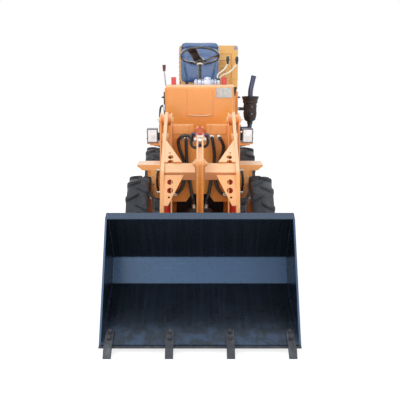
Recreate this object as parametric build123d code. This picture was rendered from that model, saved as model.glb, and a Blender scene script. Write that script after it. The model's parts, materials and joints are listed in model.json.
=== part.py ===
from build123d import *
import math
import os

# Compact open-station wheel loader, hinged in the middle, with a Z-bar bucket linkage.
# Millimetres. +Z is up, the bucket points along -Y and +X is the machine's left.
# Lengths along the machine are stations: the distance behind the bucket's cutting edge.

# ---- running gear
front_axle_station = 1430
rear_axle_station = 2990
tyre_diameter = 770
tyre_width = 178
rim_diameter = 410
rim_width = 160
rim_wall = 6
rim_lip = 5
rim_lip_height = 11
tread_depth = 23
lug_count = 14
lug_width = 30
lug_lean = 40
carcass_sides = 42
track = 976
hub_diameter = 130
axle_tube_diameter = 118
axle_height = tyre_diameter / 2

# ---- articulation
pivot_station = (front_axle_station + rear_axle_station) / 2
pivot_pin_diameter = 56
pivot_upper_height = 600
pivot_lower_height = 392
hinge_plate = 18
hinge_nose_radius = 75

# ---- bucket, in the direction of its own floor
bucket_width = 1200
bucket_floor = 543
bucket_bend = 186
bucket_bend_angle = 40.8
bucket_back = 388
bucket_back_angle = 95.2
bucket_lip = 62
bucket_lip_angle = 184.8
bucket_tip = 19.2
bucket_sheet = 8
bucket_side_sheet = 12
edge_height = 42
edge_blade_width = 150
edge_blade_thickness = 14
edge_blade_reach = 20
tooth_reach = 93
tooth_drop = 11
tooth_seat_length = 115
tooth_width = 48
tooth_thickness = 18
tooth_side_gap = 23
tooth_inner = 180
tooth_outer = bucket_width / 2 - bucket_side_sheet - tooth_width / 2 - tooth_side_gap
tooth_rows = (-tooth_outer, -tooth_inner, tooth_inner, tooth_outer)

# ---- loader arms and linkage: (station, height) of the pin centres at rest
arm_pivot = (1480, 1220)
arm_spacing = 530
arm_plate = 25
arm_boss_half = 20
ear_plate = 15
link_ear_inner = 32
link_ear_plate = 14
crank_half = 24
crank_plate = 12
bucket_pivot = (720, 380)
crank_pivot = (790, 990)
crank_top = (920, 1140)
crank_bottom = (860, 540)
link_pin_point = (665, 492)
tilt_base = (1620, 1120)
lift_base = (1285, 420)
lift_eye = (1300, 975)
beam_centre = (930, 908)
beam_side = 85
beam_wall = 8
beam_turn = 40
pin_radius = 22
running_gap = 0.05
side_gap = 0.4

# ---- front frame
tower_outer_face = 315
tower_inner_face = 220
tower_outer_plate = 12
tower_inner_plate = 10
tower_rear_station = 1720
panel_top = 1186
panel_bottom = 560
panel_station = 1430

# ---- operator's station and rear body
floor_height = 950
floor_half_width = 420
cowl_front_station = 1850
cowl_half_width = 303
cowl_top = 1475
cowl_depth = 250
wheel_centre = (2320, 1718)
wheel_diameter = 380
wheel_tilt = 24
seat_width = 410
seat_top = 1870
seat_station = 2850
hood_rear_station = 3560
hood_half_width = 380
hood_top = 1380
cabinet_left = 400
cabinet_right = -220
cabinet_top = 1830
cabinet_front_station = 3080
cabinet_rear_station = 3480
rear_end_station = 3690
frame_half_width = 270


def walk(start, heading, distance):
    """The point at a distance from another, along a heading in degrees."""
    angle = math.radians(heading)
    return (start[0] + distance * math.cos(angle), start[1] + distance * math.sin(angle))


# the bucket's outer skin, walked from the cutting edge: floor, bend, back and lip
edge_point = (0, edge_height)
floor_end = walk(edge_point, bucket_tip, bucket_floor)
bend_end = walk(floor_end, bucket_tip + bucket_bend_angle, bucket_bend)
back_end = walk(bend_end, bucket_tip + bucket_back_angle, bucket_back)
lip_end = walk(back_end, bucket_tip + bucket_lip_angle, bucket_lip)


def on_floor(along, up):
    """A point given along the bucket floor from its edge, and up from the floor's underside."""
    return walk(walk(edge_point, bucket_tip, along), bucket_tip + 90, up)


tooth_nose = 5
tooth_tip = on_floor(-tooth_reach, -tooth_drop)
tooth_front = on_floor(-tooth_reach, -tooth_drop + tooth_nose)
mid_station = (min(tooth_tip[0], tooth_front[0]) + rear_end_station) / 2


def side(point):
    """A side-view point (station, height) as (Y, Z)."""
    return (point[0] - mid_station, point[1])


def plate(outline, x_from, x_to):
    """A flat plate cut to a side-view outline, between two X positions."""
    face = make_face(Polyline(*[side(p) for p in outline], close=True))
    return extrude(Plane.YZ.offset(x_from) * face, amount=x_to - x_from)


def rod(point, radius, x_from, x_to):
    """A cylinder along X through a side-view point."""
    y, z = side(point)
    disc = Plane.YZ.offset(x_from) * Pos(y, z) * Circle(radius)
    return extrude(disc, amount=x_to - x_from)


def hull_outline(a, ra, b, rb):
    """The outline that wraps round two circles; a first circle of no radius is a corner."""
    length = math.dist(a, b)
    heading = math.degrees(math.atan2(b[1] - a[1], b[0] - a[0]))
    lean = math.degrees(math.acos((ra - rb) / length))
    far = [walk(b, heading + lean, rb), walk(b, heading - lean, rb)]
    if ra == 0:
        return [a] + far
    return [walk(a, heading + lean, ra)] + far + [walk(a, heading - lean, ra)]


def bar(circles, x_from, x_to):
    """A plate that wraps round circles (point, radius), each joined to the next by tangents."""
    solid = rod(*circles[0], x_from, x_to)
    for (a, ra), (b, rb) in zip(circles, circles[1:]):
        solid = solid + plate(hull_outline(a, ra, b, rb), x_from, x_to)
        solid = solid + rod(b, rb, x_from, x_to)
    return solid


def box(x_from, x_to, station_from, station_to, z_from, z_to):
    """A block between two corners."""
    outline = [(station_from, z_from), (station_to, z_from), (station_to, z_to), (station_from, z_to)]
    return plate(outline, x_from, x_to)


def both(solid):
    """The solid and its mirror image across the centre plane."""
    return solid + mirror(solid, about=Plane.YZ)


def cylinder_between(a, b, radius, x=0, bore=0):
    """A round bar from one side-view point to another, at a given X."""
    length = math.dist(a, b)
    start = Vector(x, *side(a))
    end = Vector(x, *side(b))
    plane = Plane(origin=start, z_dir=end - start)
    disc = Circle(radius) - Circle(bore) if bore else Circle(radius)
    return extrude(plane * disc, amount=length)


def offset_path(points, thickness):
    """Points set in to the left of a side-view path, mitred at its corners."""
    inner = []
    for index, point in enumerate(points):
        before = points[index - 1] if index else None
        after = points[index + 1] if index + 1 < len(points) else None
        headings = []
        if before:
            headings.append(math.atan2(point[1] - before[1], point[0] - before[0]))
        if after:
            headings.append(math.atan2(after[1] - point[1], after[0] - point[0]))
        middle = sum(headings) / len(headings)
        half_turn = (headings[-1] - headings[0]) / 2
        reach = thickness / math.cos(half_turn)
        inner.append((point[0] - reach * math.sin(middle), point[1] + reach * math.cos(middle)))
    return inner


def turned(profile, point, x=0, sign=1):
    """A solid turned about a line along X through a side-view point; the profile is (X, radius)."""
    outline = [(x + sign * along, radius) for along, radius in profile]
    face = make_face(Polyline(*outline, close=True))
    return Pos(0, *side(point)) * revolve(face, axis=Axis.X)


parts = {}

# ---------------------------------------------------------------- bucket
skin = [edge_point, floor_end, bend_end, back_end, lip_end]
inner_skin = offset_path(skin, bucket_sheet)
shell_half = bucket_width / 2 - bucket_side_sheet
parts["bucket_shell"] = plate(skin + inner_skin[::-1], -shell_half, shell_half)

cheek = plate(skin, shell_half, bucket_width / 2)
parts["bucket_cheeks"] = Compound(children=[cheek, mirror(cheek, about=Plane.YZ)])

blade_outline = [
    on_floor(-edge_blade_reach, -4),
    on_floor(-edge_blade_reach + 10, -edge_blade_thickness),
    on_floor(edge_blade_width - edge_blade_reach, -edge_blade_thickness),
    on_floor(edge_blade_width - edge_blade_reach, 0),
    on_floor(-edge_blade_reach, 0),
]
parts["cutting_edge"] = plate(blade_outline, -bucket_width / 2, bucket_width / 2)

tooth_top = bucket_sheet + tooth_thickness
tooth_outline = [
    tooth_tip,
    on_floor(-edge_blade_reach, bucket_sheet),
    on_floor(tooth_seat_length, bucket_sheet),
    on_floor(tooth_seat_length - tooth_thickness, tooth_top),
    on_floor(-edge_blade_reach - 25, tooth_top),
    tooth_front,
]
teeth = [plate(tooth_outline, x - tooth_width / 2, x + tooth_width / 2) for x in tooth_rows]
parts["bucket_teeth"] = Compound(children=teeth)

# ears on the bucket's back: a pair round each arm, and a pair for the link
def ear(pin, radius, root, x_from, x_to):
    """An ear plate from a stretch of the bucket's skin out to a pin, with its bore."""
    body = plate(root + [pin], x_from, x_to)
    for corner in (root[0], root[-1]):
        body = body + plate(hull_outline(corner, 0, pin, radius), x_from, x_to)
    body = body + rod(pin, radius, x_from, x_to)
    return body - rod(pin, pin_radius + running_gap, x_from - 1, x_to + 1)


arm_centre = arm_spacing / 2
ear_inner = arm_centre - arm_boss_half - side_gap - ear_plate
ear_outer = arm_centre + arm_boss_half + side_gap
ear_foot = walk(floor_end, bucket_tip + bucket_bend_angle, 40)
ear_head = walk(bend_end, bucket_tip + bucket_back_angle, 110)
ear_root = [ear_foot, bend_end, ear_head]
pivot_ear_inner = ear(bucket_pivot, 48, ear_root, ear_inner, ear_inner + ear_plate)
pivot_ear_outer = ear(bucket_pivot, 48, ear_root, ear_outer, ear_outer + ear_plate)
link_ear_head = walk(bend_end, bucket_tip + bucket_back_angle, 230)
link_ear_outer = link_ear_inner + link_ear_plate
link_ear = ear(link_pin_point, 40, [bend_end, link_ear_head], link_ear_inner, link_ear_outer)
ears = [pivot_ear_inner, pivot_ear_outer, link_ear]
parts["bucket_ears"] = Compound(children=ears + [mirror(e, about=Plane.YZ) for e in ears])

# the bucket's hinge pins turn in the arms and carry the bucket
hinge_pin = rod(bucket_pivot, pin_radius, ear_inner - 6, ear_outer + ear_plate + 6)
parts["bucket_pins"] = Compound(children=[hinge_pin, mirror(hinge_pin, about=Plane.YZ)])

# ---------------------------------------------------------------- arms
arm_line = [
    (arm_pivot, 62),
    ((1200, 1052), 66),
    ((915, 872), 82),
    ((812, 660), 64),
    (bucket_pivot, 56),
]
lug_plate = 12
tower_gap_inner = tower_inner_face + tower_inner_plate
tower_gap_outer = tower_outer_face - tower_outer_plate
arm = bar(arm_line, arm_centre - arm_plate / 2, arm_centre + arm_plate / 2)
arm = arm + rod(arm_pivot, 44, tower_gap_inner + side_gap, tower_gap_outer - side_gap)
arm = arm + rod(bucket_pivot, 44, arm_centre - arm_boss_half, arm_centre + arm_boss_half)
lug_root = (lift_eye[0] - 10, lift_eye[1] + 110)
for lug_x in (arm_centre - arm_plate / 2 - lug_plate, arm_centre + arm_plate / 2):
    arm = arm + bar([(lug_root, 52), (lift_eye, 30)], lug_x, lug_x + lug_plate)
bore = pin_radius + running_gap
for point in (arm_pivot, bucket_pivot):
    arm = arm - rod(point, bore, arm_centre - 60, arm_centre + 60)
parts["arm_left"] = arm
parts["arm_right"] = mirror(arm, about=Plane.YZ)

# the square cross beam between the arms, and the crank's brackets on it
beam_half = arm_centre - arm_plate / 2
beam_y, beam_z = side(beam_centre)
beam_face = Rectangle(beam_side, beam_side) - Rectangle(beam_side - 2 * beam_wall, beam_side - 2 * beam_wall)
beam_plane = Plane.YZ.offset(-beam_half) * Pos(beam_y, beam_z) * Rot(0, 0, beam_turn)
cross_beam = extrude(beam_plane * beam_face, amount=2 * beam_half)
bracket_root = (beam_centre[0] - 8, beam_centre[1] + 8)
bracket_inner = crank_half + 1.5
bracket_plate = 9
bracket_head = 32
bracket = bar([(bracket_root, 46), (crank_pivot, bracket_head)], bracket_inner, bracket_inner + bracket_plate)
beam_solid = extrude(beam_plane * Rectangle(beam_side, beam_side), amount=2 * beam_half)
bracket = bracket - beam_solid - rod(crank_pivot, bore, 0, 100)
bracket = bracket.solids().sort_by(SortBy.VOLUME)[-1]
parts["cross_beam"] = Compound(children=[cross_beam, bracket, mirror(bracket, about=Plane.YZ)])

# gusset plates in the corners between the arms and the beam
gusset_plate = 10
upper_gusset_far = (1135, 1098)
lower_gusset_far = (752, 700)


def gusset(root, far, root_width, far_width, holes):
    """A corner plate along the arm's edge, from the beam (root) to its far end."""
    start = Vector(beam_half, *side(root))
    end = Vector(beam_half, *side(far))
    length = (end - start).length
    plane = Plane(origin=start, x_dir=end - start, z_dir=Vector(1, 0, 0).cross(end - start))
    outline = [(0, 0), (length, 0), (length, far_width), (0, root_width)]
    face = make_face(Polyline(*outline, close=True))
    for along, across, radius in holes:
        face = face - Pos(along, across) * Circle(radius)
    return extrude(plane * face, amount=gusset_plate / 2, both=True)


upper_holes = [(4, 43, 19), (52, 42, 20), (98, 34, 7)]
lower_holes = [(52, 42, 20), (114, 43, 21), (164, 36, 8)]
upper_gusset = gusset((930, 975), upper_gusset_far, 122, 6, upper_holes)
lower_gusset = gusset((862, 895), lower_gusset_far, 138, 30, lower_holes)
corner_plates = [upper_gusset, lower_gusset]
corner_plates += [mirror(g, about=Plane.YZ) for g in corner_plates]
parts["gussets"] = Compound(children=corner_plates)

# ---------------------------------------------------------------- bell crank, link and pins
crank_line = [(crank_top, 34), (crank_pivot, 46), (crank_bottom, 38)]
crank_side = bar(crank_line, crank_half - crank_plate, crank_half)
spacer_points = [(crank_top, 0.55), (crank_bottom, 0.8)]
crank = both(crank_side)
crank = crank + rod(crank_pivot, 34, -bracket_inner + side_gap, bracket_inner - side_gap)
for end, share in spacer_points:
    inner = (
        crank_pivot[0] + (end[0] - crank_pivot[0]) * share,
        crank_pivot[1] + (end[1] - crank_pivot[1]) * share,
    )
    crank = crank + bar([(crank_pivot, 36), (inner, 20)], -crank_half, crank_half)
crank = crank - rod(crank_pivot, bore, -60, 60)
crank = crank - rod(crank_bottom, bore, -60, 60)
parts["bell_crank"] = crank
crank_pin_reach = bracket_inner + bracket_plate + 3
parts["crank_pin"] = rod(crank_pivot, pin_radius, -crank_pin_reach, crank_pin_reach)
parts["link_pin"] = rod(crank_bottom, pin_radius, -crank_half - 6, crank_half + 6)
link_half = 11
link = bar([(crank_bottom, 36), (link_pin_point, 34)], -link_half, link_half)
link = link - rod(crank_bottom, bore, -60, 60)
link = link + rod(link_pin_point, 30, -link_ear_inner + side_gap, link_ear_inner - side_gap)
parts["link"] = link

# ---------------------------------------------------------------- cylinders
tilt_barrel_radius = 31
tilt_rod_radius = 17
lift_barrel_radius = 28
lift_rod_radius = 16
steer_barrel_radius = 25
steer_rod_radius = 13
eye_half = 11


def along_line(a, b, distance):
    """The point at a distance from a towards b."""
    length = math.dist(a, b)
    share = distance / length
    return (a[0] + (b[0] - a[0]) * share, a[1] + (b[1] - a[1]) * share)


def barrel(base, eye, x, radius, rod_radius, tube_from, tube_to, eye_radius):
    """A cylinder tube on its base eye, bored for the rod."""
    start = along_line(base, eye, tube_from)
    end = along_line(base, eye, tube_to)
    gland = along_line(base, eye, tube_to - 26)
    tube = cylinder_between(start, end, radius, x)
    tube = tube + cylinder_between(gland, end, radius + 4, x)
    tube = tube - cylinder_between(along_line(base, eye, tube_from + 20), eye, rod_radius + running_gap, x)
    foot = bar([(base, eye_radius), (along_line(base, eye, tube_from + 4), 20)], x - eye_half, x + eye_half)
    tube = tube + foot
    return tube - rod(base, bore, x - 60, x + 60)


def piston_rod(base, eye, x, rod_radius, inside, eye_radius, neck_length):
    """A piston rod with a flat-sided neck and eye, reaching a distance back into its tube."""
    start = along_line(base, eye, inside)
    shoulder = along_line(eye, base, neck_length)
    shaft = cylinder_between(start, shoulder, rod_radius, x)
    neck = along_line(eye, base, neck_length + 4)
    return shaft + bar([(eye, eye_radius), (neck, rod_radius - 5)], x - eye_half, x + eye_half)


tilt_length = math.dist(tilt_base, crank_top)
parts["tilt_barrel"] = barrel(tilt_base, crank_top, 0, tilt_barrel_radius, tilt_rod_radius, 52, tilt_length - 110, 32)
parts["tilt_rod"] = piston_rod(tilt_base, crank_top, 0, tilt_rod_radius, 120, 30, 66)
lift_length = math.dist(lift_base, lift_eye)
lift_tube = barrel(lift_base, lift_eye, arm_centre, lift_barrel_radius, lift_rod_radius, 48, lift_length - 62, 32)
lift_piston = piston_rod(lift_base, lift_eye, arm_centre, lift_rod_radius, 75, 28, 54)
parts["lift_barrels"] = Compound(children=[lift_tube, mirror(lift_tube, about=Plane.YZ)])
parts["lift_rods"] = Compound(children=[lift_piston, mirror(lift_piston, about=Plane.YZ)])

# ---------------------------------------------------------------- front frame
axle_notch = axle_tube_diameter / 2 + 12
notch_height = axle_height + axle_notch
tower_outline = [
    (1205, 365),
    (1195, 470),
    (1340, 900),
    (1418, 1190),
    (arm_pivot[0], arm_pivot[1]),
    (1548, 1190),
    (tower_rear_station, 900),
    (tower_rear_station, 365),
    (front_axle_station + axle_notch + 15, 365),
    (front_axle_station + axle_notch, notch_height),
    (front_axle_station - axle_notch, notch_height),
    (front_axle_station - axle_notch - 15, 365),
]


def tower(x_from, x_to):
    """One side plate of the front frame, from the axle up to the arm's pivot."""
    body = plate(tower_outline, x_from, x_to) + rod(arm_pivot, 55, x_from, x_to)
    return body


inner_tower = tower(tower_inner_face, tower_gap_inner)
outer_tower = tower(tower_gap_outer, tower_outer_face)
towers = [inner_tower, outer_tower]

panel_sheet = 12
notch_half = 52
panel = box(-tower_inner_face, tower_inner_face, panel_station, panel_station + panel_sheet, panel_bottom, panel_top)
panel = panel + box(
    -tower_inner_face, tower_inner_face, panel_station + panel_sheet, panel_station + 55, panel_top - 8, panel_top
)
arch_foot = 115
arch_head = 68
arch_height = 65
arch = [
    (-arch_foot, panel_bottom - 1), (arch_foot, panel_bottom - 1),
    (arch_head, panel_bottom + arch_height), (-arch_head, panel_bottom + arch_height),
]
arch_plane = Plane(origin=(0, panel_station - 5 - mid_station, 0), x_dir=(1, 0, 0), z_dir=(0, -1, 0))
panel = panel - extrude(arch_plane * make_face(Polyline(*arch, close=True)), amount=-65)
notch_bottom = tilt_base[1] - tilt_barrel_radius - 12
panel = panel - box(-notch_half, notch_half, panel_station - 5, panel_station + 60, notch_bottom, panel_top + 5)
rear_wall = box(-tower_inner_face, tower_inner_face, tower_rear_station - 12, tower_rear_station, 365, 1120)
lug = bar([((tower_rear_station - 25, tilt_base[1] - 60), 12), (tilt_base, 34)], 13, 25)
lug_foot = box(13, 25, tilt_base[0] - 20, tower_rear_station - 12, tilt_base[1] - 90, tilt_base[1] - 40)
lug = (lug + lug_foot) - box(0, 60, tower_rear_station - 12, tower_rear_station + 60, 900, 1300)
lug_pin = rod(tilt_base, pin_radius, -31, 31)
floor_pan = box(-tower_inner_face, tower_inner_face, 1560, tower_rear_station - 12, 365, 377)
parts["front_box"] = Compound(children=[panel, rear_wall + both(lug) + lug_pin + floor_pan])

hinge_root_half = 200


def hinge_plan(half_root, root_station, z_from, z_to):
    """A level plate that narrows to a rounded nose round the vertical pivot pin."""
    root_y = root_station - mid_station
    pivot_y = pivot_station - mid_station
    length = abs(root_y - pivot_y)
    lean = math.degrees(math.acos(hinge_nose_radius / math.hypot(length, half_root)))
    lean = lean + math.degrees(math.atan2(half_root, length)) - 90
    sign = 1 if root_y < pivot_y else -1
    corner_x = hinge_nose_radius * math.cos(math.radians(lean))
    corner_y = pivot_y + sign * hinge_nose_radius * math.sin(math.radians(lean))
    outline = [(-half_root, root_y), (half_root, root_y), (corner_x, corner_y), (-corner_x, corner_y)]
    face = make_face(Polyline(*outline, close=True)) + Pos(0, pivot_y) * Circle(hinge_nose_radius)
    return extrude(Plane.XY.offset(z_from) * face, amount=z_to - z_from)


def pivot_cylinder(radius, z_from, z_to):
    """A vertical cylinder on the articulation axis."""
    disc = Plane.XY.offset(z_from) * Pos(0, pivot_station - mid_station) * Circle(radius)
    return extrude(disc, amount=z_to - z_from)


pivot_radius = pivot_pin_diameter / 2
upper_front = hinge_plan(hinge_root_half, tower_rear_station, pivot_upper_height - hinge_plate, pivot_upper_height)
lower_front = hinge_plan(hinge_root_half, tower_rear_station, pivot_lower_height, pivot_lower_height + hinge_plate)
web_from = pivot_lower_height + hinge_plate
web_to = pivot_upper_height - hinge_plate
web = box(85, 97, tower_rear_station, pivot_station - 130, web_from, web_to)
front_hinge = upper_front + lower_front + both(web)
steer_eye = (-170, pivot_station - 225)
steer_base = (-200, pivot_station + 230)
steer_height = 500
steer_lug = 14


def flat_lug(point, root, z_from, z_to, radius=26):
    """A level lug round a vertical pin, reaching to a root point; points are (X, station)."""
    disc = Pos(point[0], point[1] - mid_station) * Circle(radius)
    block = Pos((point[0] + root[0]) / 2, (point[1] + root[1]) / 2 - mid_station) * Rectangle(
        max(abs(root[0] - point[0]), 2 * radius), max(abs(root[1] - point[1]), 2 * radius)
    )
    return extrude(Plane.XY.offset(z_from) * (disc + block), amount=z_to - z_from)


for z in (steer_height - 2 * steer_lug, steer_height + steer_lug):
    front_hinge = front_hinge + flat_lug(steer_eye, (-97, steer_eye[1]), z, z + steer_lug)
front_hinge = front_hinge - pivot_cylinder(pivot_radius + running_gap, 300, 700)
parts["front_hinge"] = front_hinge

half_track = track / 2
tube_half = half_track - rim_width / 2 - 2
axle_stub = 30
axle_flange = 82
axle_housing = 118


def axle(station):
    """A beam axle turned with its differential housing, end flanges and stubs, and its spring pads."""
    centre = (station, axle_height)
    stub_end = half_track + 34
    half_profile = [
        (stub_end, 0),
        (stub_end, axle_stub),
        (tube_half, axle_stub),
        (tube_half, axle_flange),
        (tube_half - 22, axle_flange),
        (tube_half - 22, axle_tube_diameter / 2),
        (160, axle_tube_diameter / 2),
        (85, axle_housing),
    ]
    profile = half_profile + [(-along, radius) for along, radius in half_profile[::-1]]
    pads = box(200, 320, station - 60, station + 60, axle_height, notch_height)
    return turned(profile, centre) + both(pads)


parts["front_axle"] = axle(front_axle_station)
parts["rear_axle"] = axle(rear_axle_station)

# fenders over the front wheels, with the panels that carry them
fender_top = 860
fender_outer = 510
fender_outline = [
    (1450, 815),
    (1450, fender_top),
    (1640, fender_top),
    (1745, 770),
    (1742, 765),
    (1638, fender_top - 5),
    (1455, fender_top - 5),
    (1455, 815),
]
fender = plate(fender_outline, tower_outer_face, fender_outer)
side_panel = make_face(Polyline((tower_outer_face, 585), (370, 585), (395, 640), (395, 815), (tower_outer_face, 815), close=True))
side_panel = extrude(Plane.XZ.offset(-(1455 - mid_station)) * side_panel, amount=5)
flange_corner = make_face(Polyline((fender_outer - 45, 814), (fender_outer + 1, 814), (fender_outer + 1, 850), close=True))
fender = fender - extrude(Plane.XZ.offset(-(1449 - mid_station)) * flange_corner, amount=-7)
fender = fender + side_panel
parts["front_fenders"] = Compound(children=[fender, mirror(fender, about=Plane.YZ)])

lamp_x = (340, 424)
lamp_z = (1038, 1150)
lamp_front = 1462
lamp_rim = 7
lens_depth = 10
lamp = box(*lamp_x, lamp_front, 1528, *lamp_z)
lens_box = (lamp_x[0] + lamp_rim, lamp_x[1] - lamp_rim, lamp_z[0] + lamp_rim, lamp_z[1] - lamp_rim)
lamp = lamp - box(*lens_box[:2], lamp_front, lamp_front + lens_depth, *lens_box[2:])
lamp = lamp + box(tower_outer_face, 400, 1480, 1510, lamp_z[0] - 22, lamp_z[0])
lens = box(*lens_box[:2], lamp_front + 2, lamp_front + lens_depth, *lens_box[2:])
parts["lamp_lenses"] = Compound(children=[lens, mirror(lens, about=Plane.YZ)])
parts["headlamps"] = Compound(children=[lamp, mirror(lamp, about=Plane.YZ)])

# the arms' pivot pins and the lift cylinders' foot pins, fast in the towers
frame_pins = []
for point in (arm_pivot, lift_base):
    pin = rod(point, pin_radius, tower_inner_face - 8, tower_outer_face + 8)
    frame_pins += [pin, mirror(pin, about=Plane.YZ)]
    towers = [t - pin for t in towers]
parts["frame_pins"] = Compound(children=frame_pins)
parts["tower_plates"] = Compound(children=towers + [mirror(t, about=Plane.YZ) for t in towers])

# ---------------------------------------------------------------- rear frame
rear_box_station = pivot_station + 270
gap = 0.4
upper_rear = hinge_plan(frame_half_width, rear_box_station, pivot_upper_height + gap, pivot_upper_height + gap + hinge_plate)
lower_rear = hinge_plan(frame_half_width, rear_box_station, pivot_lower_height - gap - hinge_plate, pivot_lower_height - gap)
deck_gap = 11.6
deck_bottom = pivot_upper_height + gap + hinge_plate + deck_gap
rail_bottom = axle_height + axle_notch
cross_wall = box(-frame_half_width, frame_half_width, rear_box_station, rear_box_station + 14, pivot_lower_height - gap - hinge_plate, deck_bottom)
rail = box(frame_half_width - 14, frame_half_width, rear_box_station + 14, hood_rear_station, rail_bottom, deck_bottom)
rear_frame = upper_rear + lower_rear + cross_wall + both(rail)
for z in (steer_height - 2 * steer_lug, steer_height + steer_lug):
    rear_frame = rear_frame + flat_lug(steer_base, (steer_base[0], rear_box_station), z, z + steer_lug)
rear_frame = rear_frame - pivot_cylinder(pivot_radius, pivot_lower_height - 92, pivot_upper_height + 100)
parts["rear_frame"] = rear_frame
parts["pivot_pin"] = pivot_cylinder(pivot_radius, pivot_lower_height - 44, deck_bottom - 0.5)


def steer_line(a, b, radius, start, end, bore_radius=0):
    """A level round bar on the line from a to b, between two distances; points are (X, station)."""
    origin = Vector(a[0], a[1] - mid_station, steer_height)
    target = Vector(b[0], b[1] - mid_station, steer_height)
    direction = (target - origin).normalized()
    disc = Circle(radius) - Circle(bore_radius) if bore_radius else Circle(radius)
    return extrude(Plane(origin=origin + direction * start, z_dir=direction) * disc, amount=end - start)


def upright(point, radius, half):
    """A vertical cylinder centred on the steering cylinder's height."""
    disc = Plane.XY.offset(steer_height - half) * Pos(point[0], point[1] - mid_station) * Circle(radius)
    return extrude(disc, amount=2 * half)


steer_length = math.dist(steer_base, steer_eye)
steer_eye_half = steer_lug - 0.3
steer_tube = steer_line(steer_base, steer_eye, steer_barrel_radius, 30, 285)
steer_tube = steer_tube - steer_line(steer_base, steer_eye, steer_rod_radius + running_gap, 45, 300)
steer_tube = steer_tube + steer_line(steer_base, steer_eye, 12, 10, 32) + upright(steer_base, 22, steer_eye_half)
parts["steer_barrel"] = steer_tube
steer_shaft = steer_line(steer_base, steer_eye, steer_rod_radius, 190, steer_length - 18)
parts["steer_rod"] = steer_shaft + upright(steer_eye, 22, steer_eye_half)

# deck, tub, floor and tanks
deck_sheet = 10
deck = box(-330, 330, 2000, 2600, deck_bottom, deck_bottom + deck_sheet) + box(
    -hood_half_width, hood_half_width, 2600, hood_rear_station, deck_bottom, deck_bottom + deck_sheet
)
tub_outer = box(-330, 330, 2000, 2600, deck_bottom + deck_sheet, floor_height - 15)
tub_inner = box(-324, 324, 2006, 2600, deck_bottom + deck_sheet, floor_height - 15)
parts["tub"] = tub_outer - tub_inner + deck
floor_outline = [(-300, 1850), (300, 1850), (floor_half_width, 2000), (floor_half_width, 2600)]
floor_outline += [(-floor_half_width, 2600), (-floor_half_width, 2000)]
floor_face = make_face(Polyline(*[(x, s - mid_station) for x, s in floor_outline], close=True))
parts["floor"] = extrude(Plane.XY.offset(floor_height - 15) * floor_face, amount=15)
tank_height = 260
tank_lap = 70
tank_top = deck_bottom + tank_lap
tank_bottom = tank_top - tank_height
for label, sign in (("fuel_tank", -1), ("hydraulic_tank", 1)):
    tank = box(330, 500, 2270, 2570, tank_bottom, tank_top)
    tank = fillet(tank.edges().filter_by(Axis.Y), 30)
    parts[label] = tank if sign > 0 else mirror(tank, about=Plane.YZ)

# the cowl in front of the driver
cowl_sheet = 5
cowl_round = 32
hood_sheet = 6
hood_round = 40


def rounded_cowl(inset):
    """The cowl's block, set in all round by a distance, with its front and top edges rounded."""
    half = cowl_half_width - inset
    front = cowl_front_station + inset
    rear = cowl_front_station + cowl_depth - inset
    block = box(-half, half, front, rear, floor_height, cowl_top - inset)
    edges = block.edges().group_by(Axis.Z)[-1] + block.edges().filter_by(Axis.Z).group_by(Axis.Y)[0]
    return fillet(edges, cowl_round - inset)


raised_depth = 12
raised = box(
    -106, 106, cowl_front_station - raised_depth, cowl_front_station + cowl_sheet - 2, 1225, cowl_top - cowl_round - 2
)
parts["cowl"] = rounded_cowl(0) - rounded_cowl(cowl_sheet) + raised

wheel_plane_z = math.radians(wheel_tilt)
column_foot_station = cowl_front_station + cowl_depth
column_reach = (wheel_centre[0] - column_foot_station) / math.sin(wheel_plane_z)
column_foot = (column_foot_station, wheel_centre[1] - column_reach * math.cos(wheel_plane_z))
column = cylinder_between(column_foot, along_line(wheel_centre, column_foot, 24), 19)
column = column + cylinder_between(column_foot, along_line(column_foot, wheel_centre, 180), 30)
column = column - box(-60, 60, column_foot_station - 80, column_foot_station, 900, 1474)
parts["steering_column"] = column
wheel_origin = Vector(0, *side(wheel_centre))
column_axis = (wheel_origin - Vector(0, *side(column_foot))).normalized()
wheel_frame = Plane(origin=wheel_origin, x_dir=(1, 0, 0), z_dir=column_axis)
rim = wheel_frame * Torus(wheel_diameter / 2 - 13, 13)
hub = extrude(wheel_frame.offset(-23.5) * Circle(32), amount=30)
spokes = []
for turn in (90, 210, 330):
    spoke = Pos((wheel_diameter / 2 - 13) / 2, 0) * Rectangle(wheel_diameter / 2 - 20, 34)
    spokes.append(extrude(wheel_frame.offset(-12) * Rot(0, 0, turn) * spoke, amount=7))
parts["steering_wheel"] = rim + hub + spokes

# seat and its plinth
plinth = box(-250, 250, 2600, 2985, floor_height, 1330)
mid_body = box(-hood_half_width, hood_half_width, 2600, 2985, deck_bottom + deck_sheet, floor_height)
plinth_inner = box(-244, 244, 2606, 2979, floor_height, 1324)
mid_inner = box(-hood_half_width + 6, hood_half_width - 6, 2606, 2979, deck_bottom + deck_sheet, floor_height)
mid_body = plinth + mid_body - plinth_inner - mid_inner
parts["engine"] = box(-190, 190, 2640, 2970, deck_bottom + deck_sheet, 1240)
cushion = box(-seat_width / 2, seat_width / 2, 2470, 2860, 1330.3, 1430)
parts["seat_cushion"] = fillet(cushion.edges(), 28)
back_profile = [(2870, 1440), (2800, 1440), (2815, seat_top), (2885, seat_top)]
seat_back = plate(back_profile, -seat_width / 2, seat_width / 2)
parts["seat_back"] = fillet(seat_back.edges(), 26)
frame_strip = bar([((2880, 1338), 8), ((2879, 1440), 8), ((2888, 1700), 8)], -150, -120)
parts["seat_frame"] = Compound(children=[frame_strip, mirror(frame_strip, about=Plane.YZ)])

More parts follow.
